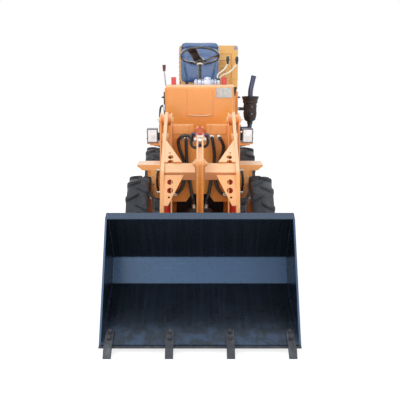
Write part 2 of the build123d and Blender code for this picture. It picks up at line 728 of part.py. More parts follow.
# rear body: hood, cabinet with its louvred door, muffler, counterweight
rear_box = box(-hood_half_width, hood_half_width, 2985, hood_rear_station, deck_bottom + deck_sheet, 800)
rear_box = rear_box - box(-hood_half_width + 6, hood_half_width - 6, 2991, hood_rear_station - 6, deck_bottom + deck_sheet, 800)
parts["lower_body"] = Compound(children=[mid_body, rear_box])
def rounded_hood(inset):
    """The hood's block, set in all round by a distance, with its long top edges rounded."""
    block = box(
        -hood_half_width + inset,
        cabinet_left - inset,
        2985 + inset,
        hood_rear_station - inset,
        800,
        hood_top - inset,
    )
    return fillet(block.edges().filter_by(Axis.Y).group_by(Axis.Z)[-1], hood_round - inset)


hood = rounded_hood(0) - rounded_hood(hood_sheet)
grille_half = 260
for row in range(8):
    slot_bottom = 985 + row * 42
    hood = hood - box(-grille_half, grille_half, hood_rear_station - 10, hood_rear_station + 1, slot_bottom, slot_bottom + 20)
for row in range(6):
    vent_bottom = 960 + row * 46
    hood = hood - box(-hood_half_width - 1, cabinet_left + 1, 3180, 3440, vent_bottom, vent_bottom + 18)
parts["hood"] = hood
door_left = 330
door_width = 205
door_right = door_left - door_width
door_bottom = 1410
door_height = 330
door_thickness = 16
door_overlap = 15
cabinet_sheet = 6
cabinet = box(cabinet_right, cabinet_left, cabinet_front_station, cabinet_rear_station, hood_top, cabinet_top)
cabinet = fillet(cabinet.edges().filter_by(Axis.Y).group_by(Axis.Z)[-1], 30)
cabinet = cabinet - box(
    cabinet_right + cabinet_sheet,
    cabinet_left - cabinet_sheet,
    cabinet_front_station + cabinet_sheet,
    cabinet_rear_station - cabinet_sheet,
    hood_top,
    cabinet_top - cabinet_sheet - 30,
)
doorway = box(
    door_right + door_overlap,
    door_left - door_overlap,
    cabinet_front_station - 1,
    cabinet_front_station + cabinet_sheet + 1,
    door_bottom + door_overlap,
    door_bottom + door_height - door_overlap,
)
door_rear = cabinet_front_station - side_gap
door_front = door_rear - door_thickness
door = box(door_right, door_left, door_front, door_rear, door_bottom, door_bottom + door_height)
door_pocket = 4
door = door - box(
    door_right + door_pocket,
    door_left - door_pocket,
    door_front + door_pocket,
    door_rear,
    door_bottom + door_pocket,
    door_bottom + door_height - door_pocket,
)
louvre_rise = 40
louvre_slot = 15
for row in range(4):
    louvre_bottom = door_bottom + 150 + row * louvre_rise
    door = door - box(door_right + 25, door_left - 62, door_front - 1, door_rear, louvre_bottom, louvre_bottom + louvre_slot)
    blade = [
        (door_front + 1, louvre_bottom + louvre_slot + 3),
        (door_front - 13, louvre_bottom + 4),
        (door_front - 13, louvre_bottom + 1),
        (door_front + 1, louvre_bottom + louvre_slot),
    ]
    door = door + plate(blade, door_right + 22, door_left - 59)
hinge_radius = 7
hinge_length = 30
hinge_point = (door_left + 4, door_front - 1)


def upright_disc(point, radius, z_from, z_to, taper=0):
    """A vertical cylinder, or a cone with a taper, at a point (X, station)."""
    disc = Plane.XY.offset(z_from) * Pos(point[0], point[1] - mid_station) * Circle(radius)
    return extrude(disc, amount=z_to - z_from, taper=taper)


cabinet = cabinet - doorway
for knuckle_bottom in (door_bottom + 40, door_bottom + door_height - 40 - 2 * hinge_length):
    leaf_bottom = knuckle_bottom + hinge_length + side_gap
    leaf_top = leaf_bottom + hinge_length
    door = door + upright_disc(hinge_point, hinge_radius, knuckle_bottom, knuckle_bottom + hinge_length)
    door = door - upright_disc(hinge_point, hinge_radius + side_gap, leaf_bottom - side_gap, leaf_top + side_gap)
    leaf = box(door_left + 1.5, door_left + 40, cabinet_front_station - 4, cabinet_front_station, leaf_bottom, leaf_top)
    leaf = leaf + box(door_left + 1.5, door_left + 8, hinge_point[1], cabinet_front_station, leaf_bottom, leaf_top)
    leaf = leaf + upright_disc(hinge_point, hinge_radius, leaf_bottom, leaf_top)
    cabinet = cabinet + leaf
parts["cabinet"] = cabinet
parts["cabinet_door"] = door

muffler_x = 500
muffler_station = 2640


muffler_point = (muffler_x, muffler_station)
muffler_bottom = 1100
muffler_can_top = 1290
elbow_height = 1010
pipe_radius = 22
muffler_radius = 64
collar_radius = 86
collar_bottom = 1262
collar_top = 1330
with BuildPart() as can_builder:
    with BuildSketch(Plane.XZ):
        Polygon(
            (0, muffler_bottom - 40),
            (28, muffler_bottom - 40),
            (28, muffler_bottom - 18),
            (muffler_radius - 10, muffler_bottom),
            (muffler_radius, muffler_bottom + 40),
            (muffler_radius, collar_bottom),
            (muffler_radius + 9, collar_bottom + 8),
            (muffler_radius + 9, collar_bottom + 30),
            (collar_radius, collar_top),
            (collar_radius - 4, collar_top),
            (muffler_radius + 4, collar_bottom + 30),
            (0, collar_bottom + 30),
            align=None,
        )
    revolve(axis=Axis.Z)
parts["muffler"] = Pos(muffler_x, muffler_station - mid_station, 0) * can_builder.part
elbow_x_from = 250
neck_bottom = muffler_bottom - 40
elbow_route = [
    (elbow_x_from, muffler_station, elbow_height),
    (muffler_x, muffler_station, elbow_height),
    (muffler_x, muffler_station, neck_bottom),
]
tail_route = [
    (muffler_x, muffler_station, collar_bottom + 30),
    (muffler_x, muffler_station, 1390),
    (muffler_x + 32, muffler_station + 20, 1530),
]


def routed(points, radii, radius):
    """A round bar or hose along straight runs joined by tangent arcs; points are (X, station, height)."""
    path = FilletPolyline(*[(x, station - mid_station, z) for x, station, z in points], radius=radii)
    start = path @ 0
    return sweep(Plane(origin=start, z_dir=path % 0) * Circle(radius), path=path)


elbow = routed(elbow_route, 30, pipe_radius)
tail_pipe = routed(tail_route, 260, 24)
parts["exhaust_pipes"] = Compound(children=[elbow, tail_pipe])

# hoses fixed on the front frame: (X, station, height) from a fitting on the panel or tower to the next
hose_radius = 13
side_hose_radius = 9
panel_face = panel_station - 0.3
tower_side = tower_inner_face - 0.3
outer_side = tower_outer_face + 0.3
axle_top = axle_height + axle_housing + 0.3
hose_routes = [
    [
        (-60, panel_face, 1066), (-60, 1402, 1066), (-68, 1396, 1090), (-104, 1396, 1104), (-142, 1398, 1098),
        (-172, 1402, 1056), (-160, 1404, 990), (-130, 1406, 900), (-122, 1406, 800), (-138, 1404, 705),
        (-172, 1403, 645), (-200, 1404, 628), (-tower_side, 1404, 628),
    ],
    [
        (-111, panel_face, 1080), (-111, 1402, 1080), (-110, 1398, 1035), (-107, 1400, 950), (-101, 1402, 860),
        (-84, 1404, 745), (-70, 1405, 650), (-60, 1412, 603), (-51, front_axle_station, 562),
        (-51, front_axle_station, axle_top),
    ],
    [
        (95, panel_face, 1090), (95, 1402, 1090), (104, 1398, 1040), (114, 1400, 950), (109, 1402, 860),
        (88, 1404, 750), (73, 1405, 650), (60, 1412, 603), (51, front_axle_station, 562),
        (51, front_axle_station, axle_top),
    ],
    [
        (152, panel_face, 1090), (152, 1402, 1090), (176, 1398, 1050), (186, 1400, 1000), (166, 1402, 920),
        (138, 1404, 830), (127, 1404, 740), (146, 1404, 672), (176, 1403, 636), (202, 1404, 627), (tower_side, 1404, 627),
    ],
]
side_route = [
    (outer_side, 1432, 820), (334, 1432, 820), (345, 1430, 775), (347, 1429, 705), (336, 1431, 642), (outer_side, 1431, 642),
]


def bend_radii(points):
    """The largest arc at each corner of a route that leaves a straight length between arcs."""
    radii = []
    for before, point, after in zip(points, points[1:], points[2:]):
        run_in = Vector(*point) - Vector(*before)
        run_out = Vector(*after) - Vector(*point)
        half_turn = math.radians(run_in.get_angle(run_out)) / 2
        radii.append(0.45 * min(run_in.length, run_out.length) / math.tan(half_turn))
    return radii


hoses = [routed(route, bend_radii(route), hose_radius) for route in hose_routes]
side_hose = routed(side_route, bend_radii(side_route), side_hose_radius)
parts["front_hoses"] = Compound(children=hoses + [side_hose, mirror(side_hose, about=Plane.YZ)])
for route in hose_routes + [side_route]:
    print("hose bend radii", [round(radius) for radius in bend_radii(route)])

# control valve on the cowl with its two levers, and the reservoir caps beside it
valve_top = cowl_top + 38
valve = box(-52, 175, 1990, 2050, cowl_top, valve_top)
valve = chamfer(valve.edges().group_by(Axis.Z)[-1], 5) + upright_disc((65, 2020), 30, valve_top, valve_top + 27, taper=8)
caps = [box(x, x + 44, 1980, 2024, cowl_top, cowl_top + 62) for x in (-252, 190)]
caps = [chamfer(cap.edges().filter_by(Axis.Z), 8) for cap in caps]
lever_radius = 5
knob_radius = 14
lever_routes = [
    [(150, 2034, valve_top - 8), (156, 2038, 1556), (214, 2046, 1604), (243, 2050, 1668)],
    [(166, 2006, valve_top - 8), (186, 2012, 1548), (268, 2020, 1590), (322, 2026, 1664)],
]
levers = []
for route in lever_routes:
    x, station, height = route[-1]
    lever = routed(route, bend_radii(route), lever_radius)
    levers.append(lever + upright_disc((x, station), knob_radius, height - 14, height + 38, taper=-3))
parts["controls"] = valve + levers + [Compound(children=caps)]

# hand brake lever and two pedals on the floor
brake_height = 650
brake_route = [(-302, 2155, floor_height + 20), (-303, 2141, floor_height + 450), (-320, 2126, floor_height + brake_height)]
brake = box(-322, -282, 2130, 2180, floor_height, floor_height + 32) + routed(brake_route, bend_radii(brake_route), 6)
brake = brake + upright_disc((-320, 2126), 16, floor_height + brake_height - 14, floor_height + brake_height + 42, taper=-4)
pedal_pad = [(2115, floor_height + 108), (2124, floor_height + 116), (2186, floor_height + 60), (2178, floor_height + 52)]
pedal_stem = [(2148, floor_height + 84), (2162, floor_height + 80), (2152, floor_height), (2138, floor_height)]
pedals = [plate(pedal_pad, x, x + 62) + plate(pedal_stem, x + 24, x + 38) for x in (85, 178)]
parts["floor_controls"] = Compound(children=[brake] + pedals)

weight = box(-480, 480, hood_rear_station, 3630, 470, 950)
weight = fillet(weight.edges().filter_by(Axis.Z).group_by(Axis.Y)[-1], 40)
hitch_eye = (0, rear_end_station - 30)
hitch_bore = 13
hitch_gap = 60
hitch_lugs = []
for z in (520, 520 + 15 + hitch_gap):
    hitch_lug = box(-30, 30, 3630, hitch_eye[1], z, z + 15) + upright_disc(hitch_eye, 30, z, z + 15)
    hitch_lugs.append(hitch_lug - upright_disc(hitch_eye, hitch_bore, z, z + 15))
parts["counterweight"] = weight + hitch_lugs

# ---------------------------------------------------------------- wheels
def faceted_ring(profile, sides):
    """A ring of flat-faced segments about X; the profile is (X, radius)."""
    rows = []
    for index in range(sides):
        angle = 2 * math.pi * index / sides
        rows.append([Vector(x, radius * math.sin(angle), radius * math.cos(angle)) for x, radius in profile])
    faces = []
    for row, following in zip(rows, rows[1:] + rows[:1]):
        for corner in range(len(profile)):
            a, b = row[corner - 1], row[corner]
            c, d = following[corner], following[corner - 1]
            faces.append(Face(Wire.make_polygon([a, b, c, d])))
    return Solid(Shell(faces))


def lug_bar(turn, hand):
    """One tread bar, from the middle of the tread out to the shoulder, trailing as it goes out."""
    lean = math.radians(lug_lean)
    up = Vector(0, -math.sin(turn), math.cos(turn))
    forward = Vector(0, -math.cos(turn), -math.sin(turn))
    along = Vector(hand, 0, 0) * math.cos(lean) - forward * math.sin(lean)
    plane = Plane(origin=(0, 0, 0), x_dir=along, z_dir=along.cross(up))
    tread = tyre_diameter / 2 - tread_depth
    shoulder = lug_shoulder()
    outline = [
        (-6, tread - 14),
        (-6, lug_top(-6)),
        (shoulder - 18, lug_top(shoulder - 18)),
        (shoulder, tread - 18),
        (shoulder - 4, tread - 46),
        (shoulder - 34, tread - 22),
    ]
    return extrude(plane * make_face(Polyline(*outline, close=True)), amount=lug_width / 2, both=True)


def lug_top(along):
    """The height of a bar's top, so that its trailing edge lies on the tyre's outer diameter."""
    lean = math.radians(lug_lean)
    trail = along * math.sin(lean) + lug_width / 2 * math.cos(lean)
    return math.sqrt((tyre_diameter / 2) ** 2 - trail**2)


def lug_shoulder():
    """How far along its own line a bar reaches the tyre's side."""
    lean = math.radians(lug_lean)
    return (tyre_width / 2 - lug_width / 2 * math.sin(lean)) / math.cos(lean)


def tyre():
    """A tyre's faceted carcass with its staggered tread bars, about the origin."""
    half = tyre_width / 2
    tread = tyre_diameter / 2 - tread_depth
    seat = rim_diameter / 2
    bore = seat / math.cos(math.pi / carcass_sides)
    outer = [(half * 0.78, bore), (half * 0.97, seat + 45), (half * 0.97, tread - 50), (half * 0.86, tread - 8), (half * 0.55, tread)]
    body = faceted_ring(outer + [(-x, radius) for x, radius in outer[::-1]], carcass_sides)
    lean = math.radians(lug_lean)
    trail = (lug_shoulder() - 18) * math.sin(lean) + lug_width / 2 * math.cos(lean)
    start = math.pi - math.asin(trail / (tyre_diameter / 2))
    pitch = 2 * math.pi / lug_count
    lugs = []
    for index in range(lug_count):
        lugs.append(lug_bar(start + index * pitch, 1))
        lugs.append(lug_bar(start + (index + 0.5) * pitch, -1))
    return body + lugs


rim_half = rim_width / 2
rim_seat = rim_diameter / 2
barrel_profile = [
    (-rim_half, rim_seat - rim_wall),
    (-rim_half, rim_seat + rim_lip_height),
    (-rim_half + rim_lip, rim_seat + rim_lip_height),
    (-rim_half + rim_lip, rim_seat),
    (rim_half - rim_lip, rim_seat),
    (rim_half - rim_lip, rim_seat + rim_lip_height),
    (rim_half, rim_seat + rim_lip_height),
    (rim_half, rim_seat - rim_wall),
]
hub_radius = hub_diameter / 2
disc_profile = [
    (12, rim_seat - rim_wall + 1),
    (34, 122),
    (34, hub_radius - 5),
    (44, hub_radius - 5),
    (44, 126),
    (22, rim_seat - rim_wall + 1),
]
hub_bore = axle_stub + running_gap
hub_profile = [(-50, hub_bore), (-50, hub_radius), (34, hub_radius), (52, hub_radius - 12), (52, hub_bore)]


def rim_wheel(x, station):
    """A dished disc wheel: rim barrel with lips, disc and bored hub."""
    sign = 1 if x > 0 else -1
    centre = (station, axle_height)
    wheel = turned(barrel_profile, centre, x, sign)
    return wheel + turned(disc_profile, centre, x, sign) + turned(hub_profile, centre, x, sign)


plain_tyre = tyre()
for label, sign, station in (
    ("front_left", 1, front_axle_station),
    ("front_right", -1, front_axle_station),
    ("rear_left", 1, rear_axle_station),
    ("rear_right", -1, rear_axle_station),
):
    parts["tyre_" + label] = Pos(sign * half_track, station - mid_station, axle_height) * plain_tyre
    parts["rim_" + label] = rim_wheel(sign * half_track, station)

os.makedirs("parts", exist_ok=True)
for name, shape in parts.items():
    export_step(shape, "parts/" + name + ".step")
print(len(parts), "sub-parts, overall length", 2 * (rear_end_station - mid_station), "middle", mid_station)
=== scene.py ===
import json
import math
import bpy
import numpy as np
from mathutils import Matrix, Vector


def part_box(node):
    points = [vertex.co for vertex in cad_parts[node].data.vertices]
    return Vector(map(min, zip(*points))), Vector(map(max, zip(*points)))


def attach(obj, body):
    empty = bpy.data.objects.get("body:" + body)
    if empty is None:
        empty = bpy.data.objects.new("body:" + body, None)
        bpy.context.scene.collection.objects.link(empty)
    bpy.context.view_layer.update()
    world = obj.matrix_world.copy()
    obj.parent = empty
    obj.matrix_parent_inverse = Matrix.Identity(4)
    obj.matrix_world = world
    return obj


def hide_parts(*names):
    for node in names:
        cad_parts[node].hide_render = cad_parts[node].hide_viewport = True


# Compact wheel loader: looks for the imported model. Metres, +Z up; the bucket points along -Y, +X is the machine's left.
# turned, tube, slab, boxy, bead and the bolt helpers take their sizes in millimetres; the points are in metres.
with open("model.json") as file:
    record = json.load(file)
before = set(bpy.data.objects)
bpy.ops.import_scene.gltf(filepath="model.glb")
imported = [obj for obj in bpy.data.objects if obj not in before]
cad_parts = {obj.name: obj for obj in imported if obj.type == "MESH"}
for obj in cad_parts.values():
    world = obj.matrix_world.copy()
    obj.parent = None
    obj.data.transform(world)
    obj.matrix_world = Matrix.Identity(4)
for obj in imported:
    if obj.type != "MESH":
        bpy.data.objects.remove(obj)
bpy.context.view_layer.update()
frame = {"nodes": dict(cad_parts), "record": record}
nodes = frame["nodes"]
tau = 2 * math.pi
midStation = 1.802073098724173  # from the cutting edge back to the middle of the machine's length
xAxis, yAxis, zAxis = np.eye(3)
facingFront, facingRear, facingRight = (xAxis, zAxis), (-xAxis, zAxis), (-yAxis, zAxis)
sides = (-1, 1)


def place(x, station, z):
    # a point given as (X, distance behind the cutting edge, height), all in millimetres
    return np.array([x / 1000, station / 1000 - midStation, z / 1000])


def facingSide(side):
    return yAxis, side * zAxis


def unit(v):
    return v / np.maximum(np.linalg.norm(v, axis=-1, keepdims=True), 1e-12)


def surface(points, wrapRows=False):
    # one closed sheet: a (rows, cols, 3) grid that wraps round its columns; fans to their middles close its end rows
    rows, cols = points.shape[:2]
    verts = points.reshape(-1, 3)
    r = np.arange(rows if wrapRows else rows - 1)[:, None]
    c = np.arange(cols)
    rn, cn = (r + 1) % rows, (c + 1) % cols
    faces = np.stack([r * cols + c, r * cols + cn, rn * cols + cn, rn * cols + c], -1).reshape(-1, 4).tolist()
    if not wrapRows:
        first, last = rows * cols, (rows - 1) * cols
        faces += np.stack([np.full(cols, first), cn, c], -1).tolist()
        faces += np.stack([np.full(cols, first + 1), last + c, last + cn], -1).tolist()
        verts = np.concatenate([verts, [points[0].mean(0), points[-1].mean(0)]])
    return verts, faces


def enclosed(verts, faces):
    # signed volume: the sum of the tetrahedra from the middle to each face
    v = verts - verts.mean(0)
    total = 0.0
    for size in (3, 4):
        f = np.array([q for q in faces if len(q) == size], int)
        if len(f):
            for k in range(1, size - 1):
                total += np.einsum("ij,ij->i", v[f[:, 0]], np.cross(v[f[:, k]], v[f[:, k + 1]])).sum()
    return total


def adopt(name, mesh, look, body, replaces=()):
    # a ready mesh becomes a piece that rides on a body
    mesh.name = name
    mesh.materials.clear()
    mesh.materials.append(materials[look])
    mesh.shade_smooth()
    obj = bpy.data.objects.new(name, mesh)
    bpy.context.scene.collection.objects.link(obj)
    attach(obj, body)
    if replaces:
        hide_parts(*replaces)
    return obj


def piece(name, parts, look, body, sharp=40, replaces=()):
    # joins closed sheets into one object whose faces all point outwards
    allVerts, allFaces, base = [], [], 0
    for verts, faces in parts:
        if enclosed(verts, faces) < 0:
            faces = [f[::-1] for f in faces]
        allVerts.append(verts)
        allFaces += [[i + base for i in f] for f in faces]
        base += len(verts)
    mesh = bpy.data.meshes.new(name)
    mesh.from_pydata(np.concatenate(allVerts).tolist(), [], allFaces)
    mesh.update()
    obj = adopt(name, mesh, look, body, replaces)
    mesh.set_sharp_from_angle(angle=math.radians(sharp))
    return obj


def axes(direction):
    # two directions square to a given one, and itself
    d = unit(np.asarray(direction, float))
    a = unit(np.cross(zAxis if abs(d[2]) < 0.8 else yAxis, d))
    return a, np.cross(d, a), d


def turned(profile, centre, direction, count=32, lobes=None):
    # a profile of (radius, along) carried round an axis: centre + along*axis + radius*(cos, sin)
    a, b, d = axes(direction)
    radius, along = np.array(profile, float).T
    turn = np.linspace(0, tau, count, endpoint=False)
    r = radius[:, None] * (np.ones(count) if lobes is None else lobes(turn, along[:, None]))
    ring = np.cos(turn)[:, None] * a + np.sin(turn)[:, None] * b
    return surface(np.asarray(centre) + (along[:, None, None] * d + r[..., None] * ring) / 1000)


def spline(points, count):
    # a Catmull-Rom curve through points, at evenly spaced distances, and its length
    p = np.asarray(points, float)
    p = np.concatenate([[2 * p[0] - p[1]], p, [2 * p[-1] - p[-2]]])
    spans = len(p) - 3
    t = np.linspace(0, spans, spans * 24 + 1)
    i = np.minimum(t.astype(int), spans - 1)
    u = (t - i)[:, None]
    a, b, c, d = p[i], p[i + 1], p[i + 2], p[i + 3]
    curve = 0.5 * (2 * b + (c - a) * u + (2 * a - 5 * b + 4 * c - d) * u**2 + (3 * b - a - 3 * c + d) * u**3)
    run = np.concatenate([[0], np.cumsum(np.linalg.norm(np.diff(curve, axis=0), axis=1))])
    even = np.linspace(0, run[-1], count)
    return np.stack([np.interp(even, run, curve[:, k]) for k in range(3)], -1), run[-1]


def route(points, count):
    # a smooth path through places
    return spline([place(*point) for point in points], count)[0]


def tube(path, radius, count=14, up=zAxis):
    # a round section carried along a path: point + radius*(cos*side + sin*up), where side = up x tangent
    tangent = unit(np.gradient(path, axis=0))
    across = unit(np.cross(np.asarray(up, float), tangent))
    lift = np.cross(tangent, across)
    turn = np.linspace(0, tau, count, endpoint=False)
    r = np.asarray(radius, float) / 1000
    r = (np.broadcast_to(r, (len(path),))[:, None] if r.ndim < 2 else r)[..., None]
    ring = np.cos(turn)[None, :, None] * across[:, None] + np.sin(turn)[None, :, None] * lift[:, None]
    return surface(path[:, None] + r * ring)


def roundedOutline(width, height, corner):
    # a rectangle with round corners: each quarter circle's angle runs over its own corner centre
    steps = 7
    turn = (np.linspace(0, math.pi / 2, steps)[None] + np.arange(4)[:, None] * math.pi / 2).ravel()
    sx, sy = np.repeat([1, -1, -1, 1], steps), np.repeat([1, 1, -1, -1], steps)
    return np.stack([sx * (width / 2 - corner) + corner * np.cos(turn),
                     sy * (height / 2 - corner) + corner * np.sin(turn)], -1)


def slab(centre, facing, width, height, thick, corner, edge=2.0, crown=0.0):
    # a plate with round corners and a rounded rim; its front swells by crown*(1-x^2)(1-y^2)
    across, upward = (unit(np.asarray(v, float)) for v in facing)
    out = np.cross(across, upward)
    q = np.linspace(0, math.pi / 2, 4)
    shrink = np.linspace(0.25, 0.9, 4) * min(width, height) / 2
    inset = np.concatenate([[edge * 0.6, 0], edge * (1 - np.cos(q)), shrink])
    level = np.concatenate([[0, edge * 0.6], thick - edge + edge * np.sin(q), np.full(4, thick)])
    rows = []
    for k, (gap, z) in enumerate(zip(inset, level)):
        flat = roundedOutline(width - 2 * gap, height - 2 * gap, max(corner - gap, 0.4))
        swell = crown * (1 - (2 * flat[:, 0] / width) ** 2) * (1 - (2 * flat[:, 1] / height) ** 2) * (k > 1)
        spread = flat[:, :1] * across + flat[:, 1:] * upward + (z + swell)[:, None] * out
        rows.append(np.asarray(centre) + spread / 1000)
    return surface(np.stack(rows))


def boxy(x, station, z, corner=4.0, edge=1.5):
    # a block between (x, station, z) limits, its upper rim rounded
    base = place((x[0] + x[1]) / 2, (station[0] + station[1]) / 2, z[0])
    return slab(base, (xAxis, yAxis), x[1] - x[0], station[1] - station[0], z[1] - z[0], corner, edge)


def bead(start, end, normal, radius=4.0, pitch=6.0):
    # a weld: a half-sunk tube whose radius swells with every ripple, r*(0.85 + 0.2*|sin(pi*s/pitch)|)
    start, end = np.asarray(start), np.asarray(end)
    length = 1000 * np.linalg.norm(end - start)
    s = np.linspace(0, 1, max(int(length / pitch * 4), 8))
    taper = np.clip(np.minimum(s, 1 - s) * length / 6, 0.25, 1)
    ripple = 0.85 + 0.2 * np.abs(np.sin(math.pi * s * length / pitch))
    return tube(start + s[:, None] * (end - start), radius * taper * ripple, 8, normal)


def hexagon(turn):
    # radius of a hexagon: 1/cos(angle from the middle of its flat)
    return 1 / np.cos((turn + math.pi / 6) % (math.pi / 3) - math.pi / 6)


def hexBolt(centre, direction, size=12.0):
    # a hexagon head on a washer, its profile times its size
    profile = [(1.215, -0.1), (1.35, 0), (1.35, 0.16), (1.2555, 0.22), (0.86, 0.23), (0.88, 0.26), (0.9, 0.8),
               (0.84, 0.92), (0.5, 0.95)]
    return turned(np.array(profile) * size, centre, direction, 24,
                  lambda turn, along: np.where(along > 0.24 * size, hexagon(turn)[None], 1.0))


def nipple(point, direction):
    # a grease nipple: small hexagon, neck and ball
    return turned([(5, 0), (5, 5), (3.2, 5.5), (3, 9), (4.2, 11), (3.6, 14), (1, 15)], point, direction, 12)


def pinEnd(point, direction, radius, rise=1.0):
    # domed washer and chamfered pin end, its heights times rise
    profile = [(1.5, -1), (1.5, 4), (1.4, 6), (1.02, 6.5), (1, 11), (0.86, 13.5), (1 / radius, 13.8)]
    return turned([(radius * r, rise * z) for r, z in profile], point, direction, 32)


def hoseEnd(path, radius):
    # swaged ferrule on a hexagon nut, growing along the hose from the path's first point
    profile = [(1.15, 0), (1.22, 1), (1.22, 9.5), (1.28, 10), (1.32, 12), (1.32, 20), (1.2, 21), (1.2, 23), (1.3, 24),
               (1.3, 34), (1.06, 36)]
    return turned([(radius * r, z) for r, z in profile], path[0], path[1] - path[0], 24,
                  lambda turn, along: np.where(along < 10.5, hexagon(turn)[None] * 1.02, 1.0))


class Board:
    # adds and links nodes in one tree
    def __init__(self, tree):
        self.tree = tree

    def feed(self, socket, value):
        # a link from another socket, or a constant
        if isinstance(value, bpy.types.NodeSocket):
            self.tree.links.new(value, socket)
        else:
            socket.default_value = value

    def add(self, kind, settings=None, **values):
        # values go to inputs by name, with _ for a space, or by number as i0, i1
        node = self.tree.nodes.new("ShaderNode" + kind)
        for key, value in (settings or {}).items():
            setattr(node, key, value)
        for key, value in values.items():
            self.feed(node.inputs[int(key[1:]) if key[1:].isdigit() else key.replace("_", " ")], value)
        return node

    def math(self, operation, a, b=0.0, clamp=False):
        return self.add("Math", {"operation": operation, "use_clamp": clamp}, i0=a, i1=b).outputs[0]

    def blend(self, share, a, b, how="MIX"):
        return self.add("Mix", {"data_type": "RGBA", "blend_type": how}, i0=share, i6=a, i7=b).outputs[2]

    def band(self, value, low, high, toLow=0.0, toHigh=1.0):
        # smoothstep from one range to another
        return self.add("MapRange", {"interpolation_type": "SMOOTHSTEP"}, Value=value, From_Min=low, From_Max=high,
                        To_Min=toLow, To_Max=toHigh).outputs[0]

    def noise(self, vector, scale, detail=3.0, rough=0.5):
        return self.add("TexNoise", None, Vector=vector, Scale=scale, Detail=detail, Roughness=rough).outputs["Fac"]

    def tinted(self, paint, tone):
        # a colour times a grey tone
        grey = self.add("CombineColor", None, Red=tone, Green=tone, Blue=tone).outputs[0]
        return self.blend(1.0, paint, grey, "MULTIPLY")


def makeStage():
    # a white studio: rays from the camera see a brighter world and floor than the light that bounces
    spec = {
        "camera": (0.0, -4.811073, 1.683), "down": 14.04, "lens": 50.4, "aim": (0, 0, 0.8),
        "world": (0.5, 1.0), "floorRadius": 60, "floorDrop": -0.0005, "floorFade": (2.2, 7.0), "floorGlow": 0.72,
        "floorTone": 0.72, "floorSeen": 0.5,
        "lights": {  # place, size and power
            "key": ((-3.2, -5.4, 4.8), 4.0, 170), "fill": ((4.4, -4.8, 2.6), 4.0, 100),
            "front": ((0.0, -8.5, 1.8), 5.0, 90), "rearLeft": ((4.2, 5.4, 4.0), 4.0, 135),
            "rearRight": ((-4.4, 5.0, 3.8), 4.0, 135), "top": ((0, 0.3, 6.5), 4.5, 50),
        },
    }
    scene = bpy.context.scene
    camera = bpy.data.objects.new("camera", bpy.data.cameras.new("camera"))
    camera.location = spec["camera"]
    camera.rotation_euler = (math.radians(90 - spec["down"]), 0, 0)
    camera.data.lens, camera.data.sensor_width, camera.data.clip_end = spec["lens"], 36, 300
    scene.collection.objects.link(camera)
    scene.camera = camera
    for name, (spot, size, power) in spec["lights"].items():
        lamp = bpy.data.lights.new(name, "AREA")
        lamp.size, lamp.energy = size, power
        lampObject = bpy.data.objects.new(name, lamp)
        lampObject.location = spot
        x, y, z = np.array(spec["aim"]) - np.array(spot)
        lampObject.rotation_euler = (math.atan2(math.hypot(x, y), -z), 0, math.atan2(-x, y))
        scene.collection.objects.link(lampObject)
    world = bpy.data.worlds.new("studio")
    world.use_nodes = True
    world.node_tree.nodes.clear()
    n = Board(world.node_tree)
    rays = n.add("LightPath").outputs
    seen = n.math("MAXIMUM", rays["Is Camera Ray"], rays["Is Glossy Ray"])
    seen = n.math("MAXIMUM", seen, rays["Is Transmission Ray"])
    level = n.add("MapRange", None, Value=seen, To_Min=spec["world"][0], To_Max=spec["world"][1]).outputs[0]
    n.add("OutputWorld", None, Surface=n.add("Background", None, Color=(1, 1, 1, 1), Strength=level).outputs[0])
    scene.world = world
    scene.view_settings.view_transform = "Standard"
    # the floor turns into plain white far from the machine, so that it has no horizon
    material = bpy.data.materials.new("studioFloor")
    material.use_nodes = True
    material.node_tree.nodes.clear()
    n = Board(material.node_tree)
    rays = n.add("LightPath").outputs
    plain, bright = (n.add("BsdfDiffuse", None, Color=(tone, tone, tone, 1)).outputs[0]
                     for tone in (spec["floorTone"], spec["floorSeen"]))
    glow = n.add("Emission", None, Strength=spec["floorGlow"]).outputs[0]
    reach = n.add("VectorMath", {"operation": "LENGTH"}, i0=n.add("TexCoord").outputs["Object"]).outputs["Value"]
    lit = n.add("AddShader", None, i0=bright, i1=glow).outputs[0]
    faded = n.add("MixShader", None, i0=n.band(reach, *spec["floorFade"]), i1=lit, i2=n.add("Emission").outputs[0])
    seen = n.math("MAXIMUM", rays["Is Camera Ray"], rays["Is Glossy Ray"])
    mixed = n.add("MixShader", None, i0=seen, i1=plain, i2=faded.outputs[0])
    n.add("OutputMaterial", None, Surface=mixed.outputs[0])
    turn, reach = np.linspace(0, tau, 96, endpoint=False), spec["floorRadius"]
    rim = np.stack([reach * np.cos(turn), reach * np.sin(turn), np.full_like(turn, spec["floorDrop"])], -1)
    disc = bpy.data.meshes.new("studioFloor")
    disc.from_pydata(rim.tolist(), [], [list(range(len(turn)))])
    disc.materials.append(material)
    floor = bpy.data.objects.new("studioFloor", disc)
    scene.collection.objects.link(floor)


makeStage()
print("camera, floor and light made")


def makeGroup(name, inputs, outputs):
    # a node group with named sockets
    group = bpy.data.node_groups.new(name, "ShaderNodeTree")
    for label, value in inputs.items():
        kind = "Vector" if value is None else "Color" if isinstance(value, tuple) else "Float"
        socket = group.interface.new_socket(label, in_out="INPUT", socket_type="NodeSocket" + kind)
        if value is not None:
            socket.default_value = value
    for label, kind in outputs.items():
        group.interface.new_socket(label, in_out="OUTPUT", socket_type="NodeSocket" + kind)
    return group, Board(group), group.nodes.new("NodeGroupInput").outputs, group.nodes.new("NodeGroupOutput").inputs


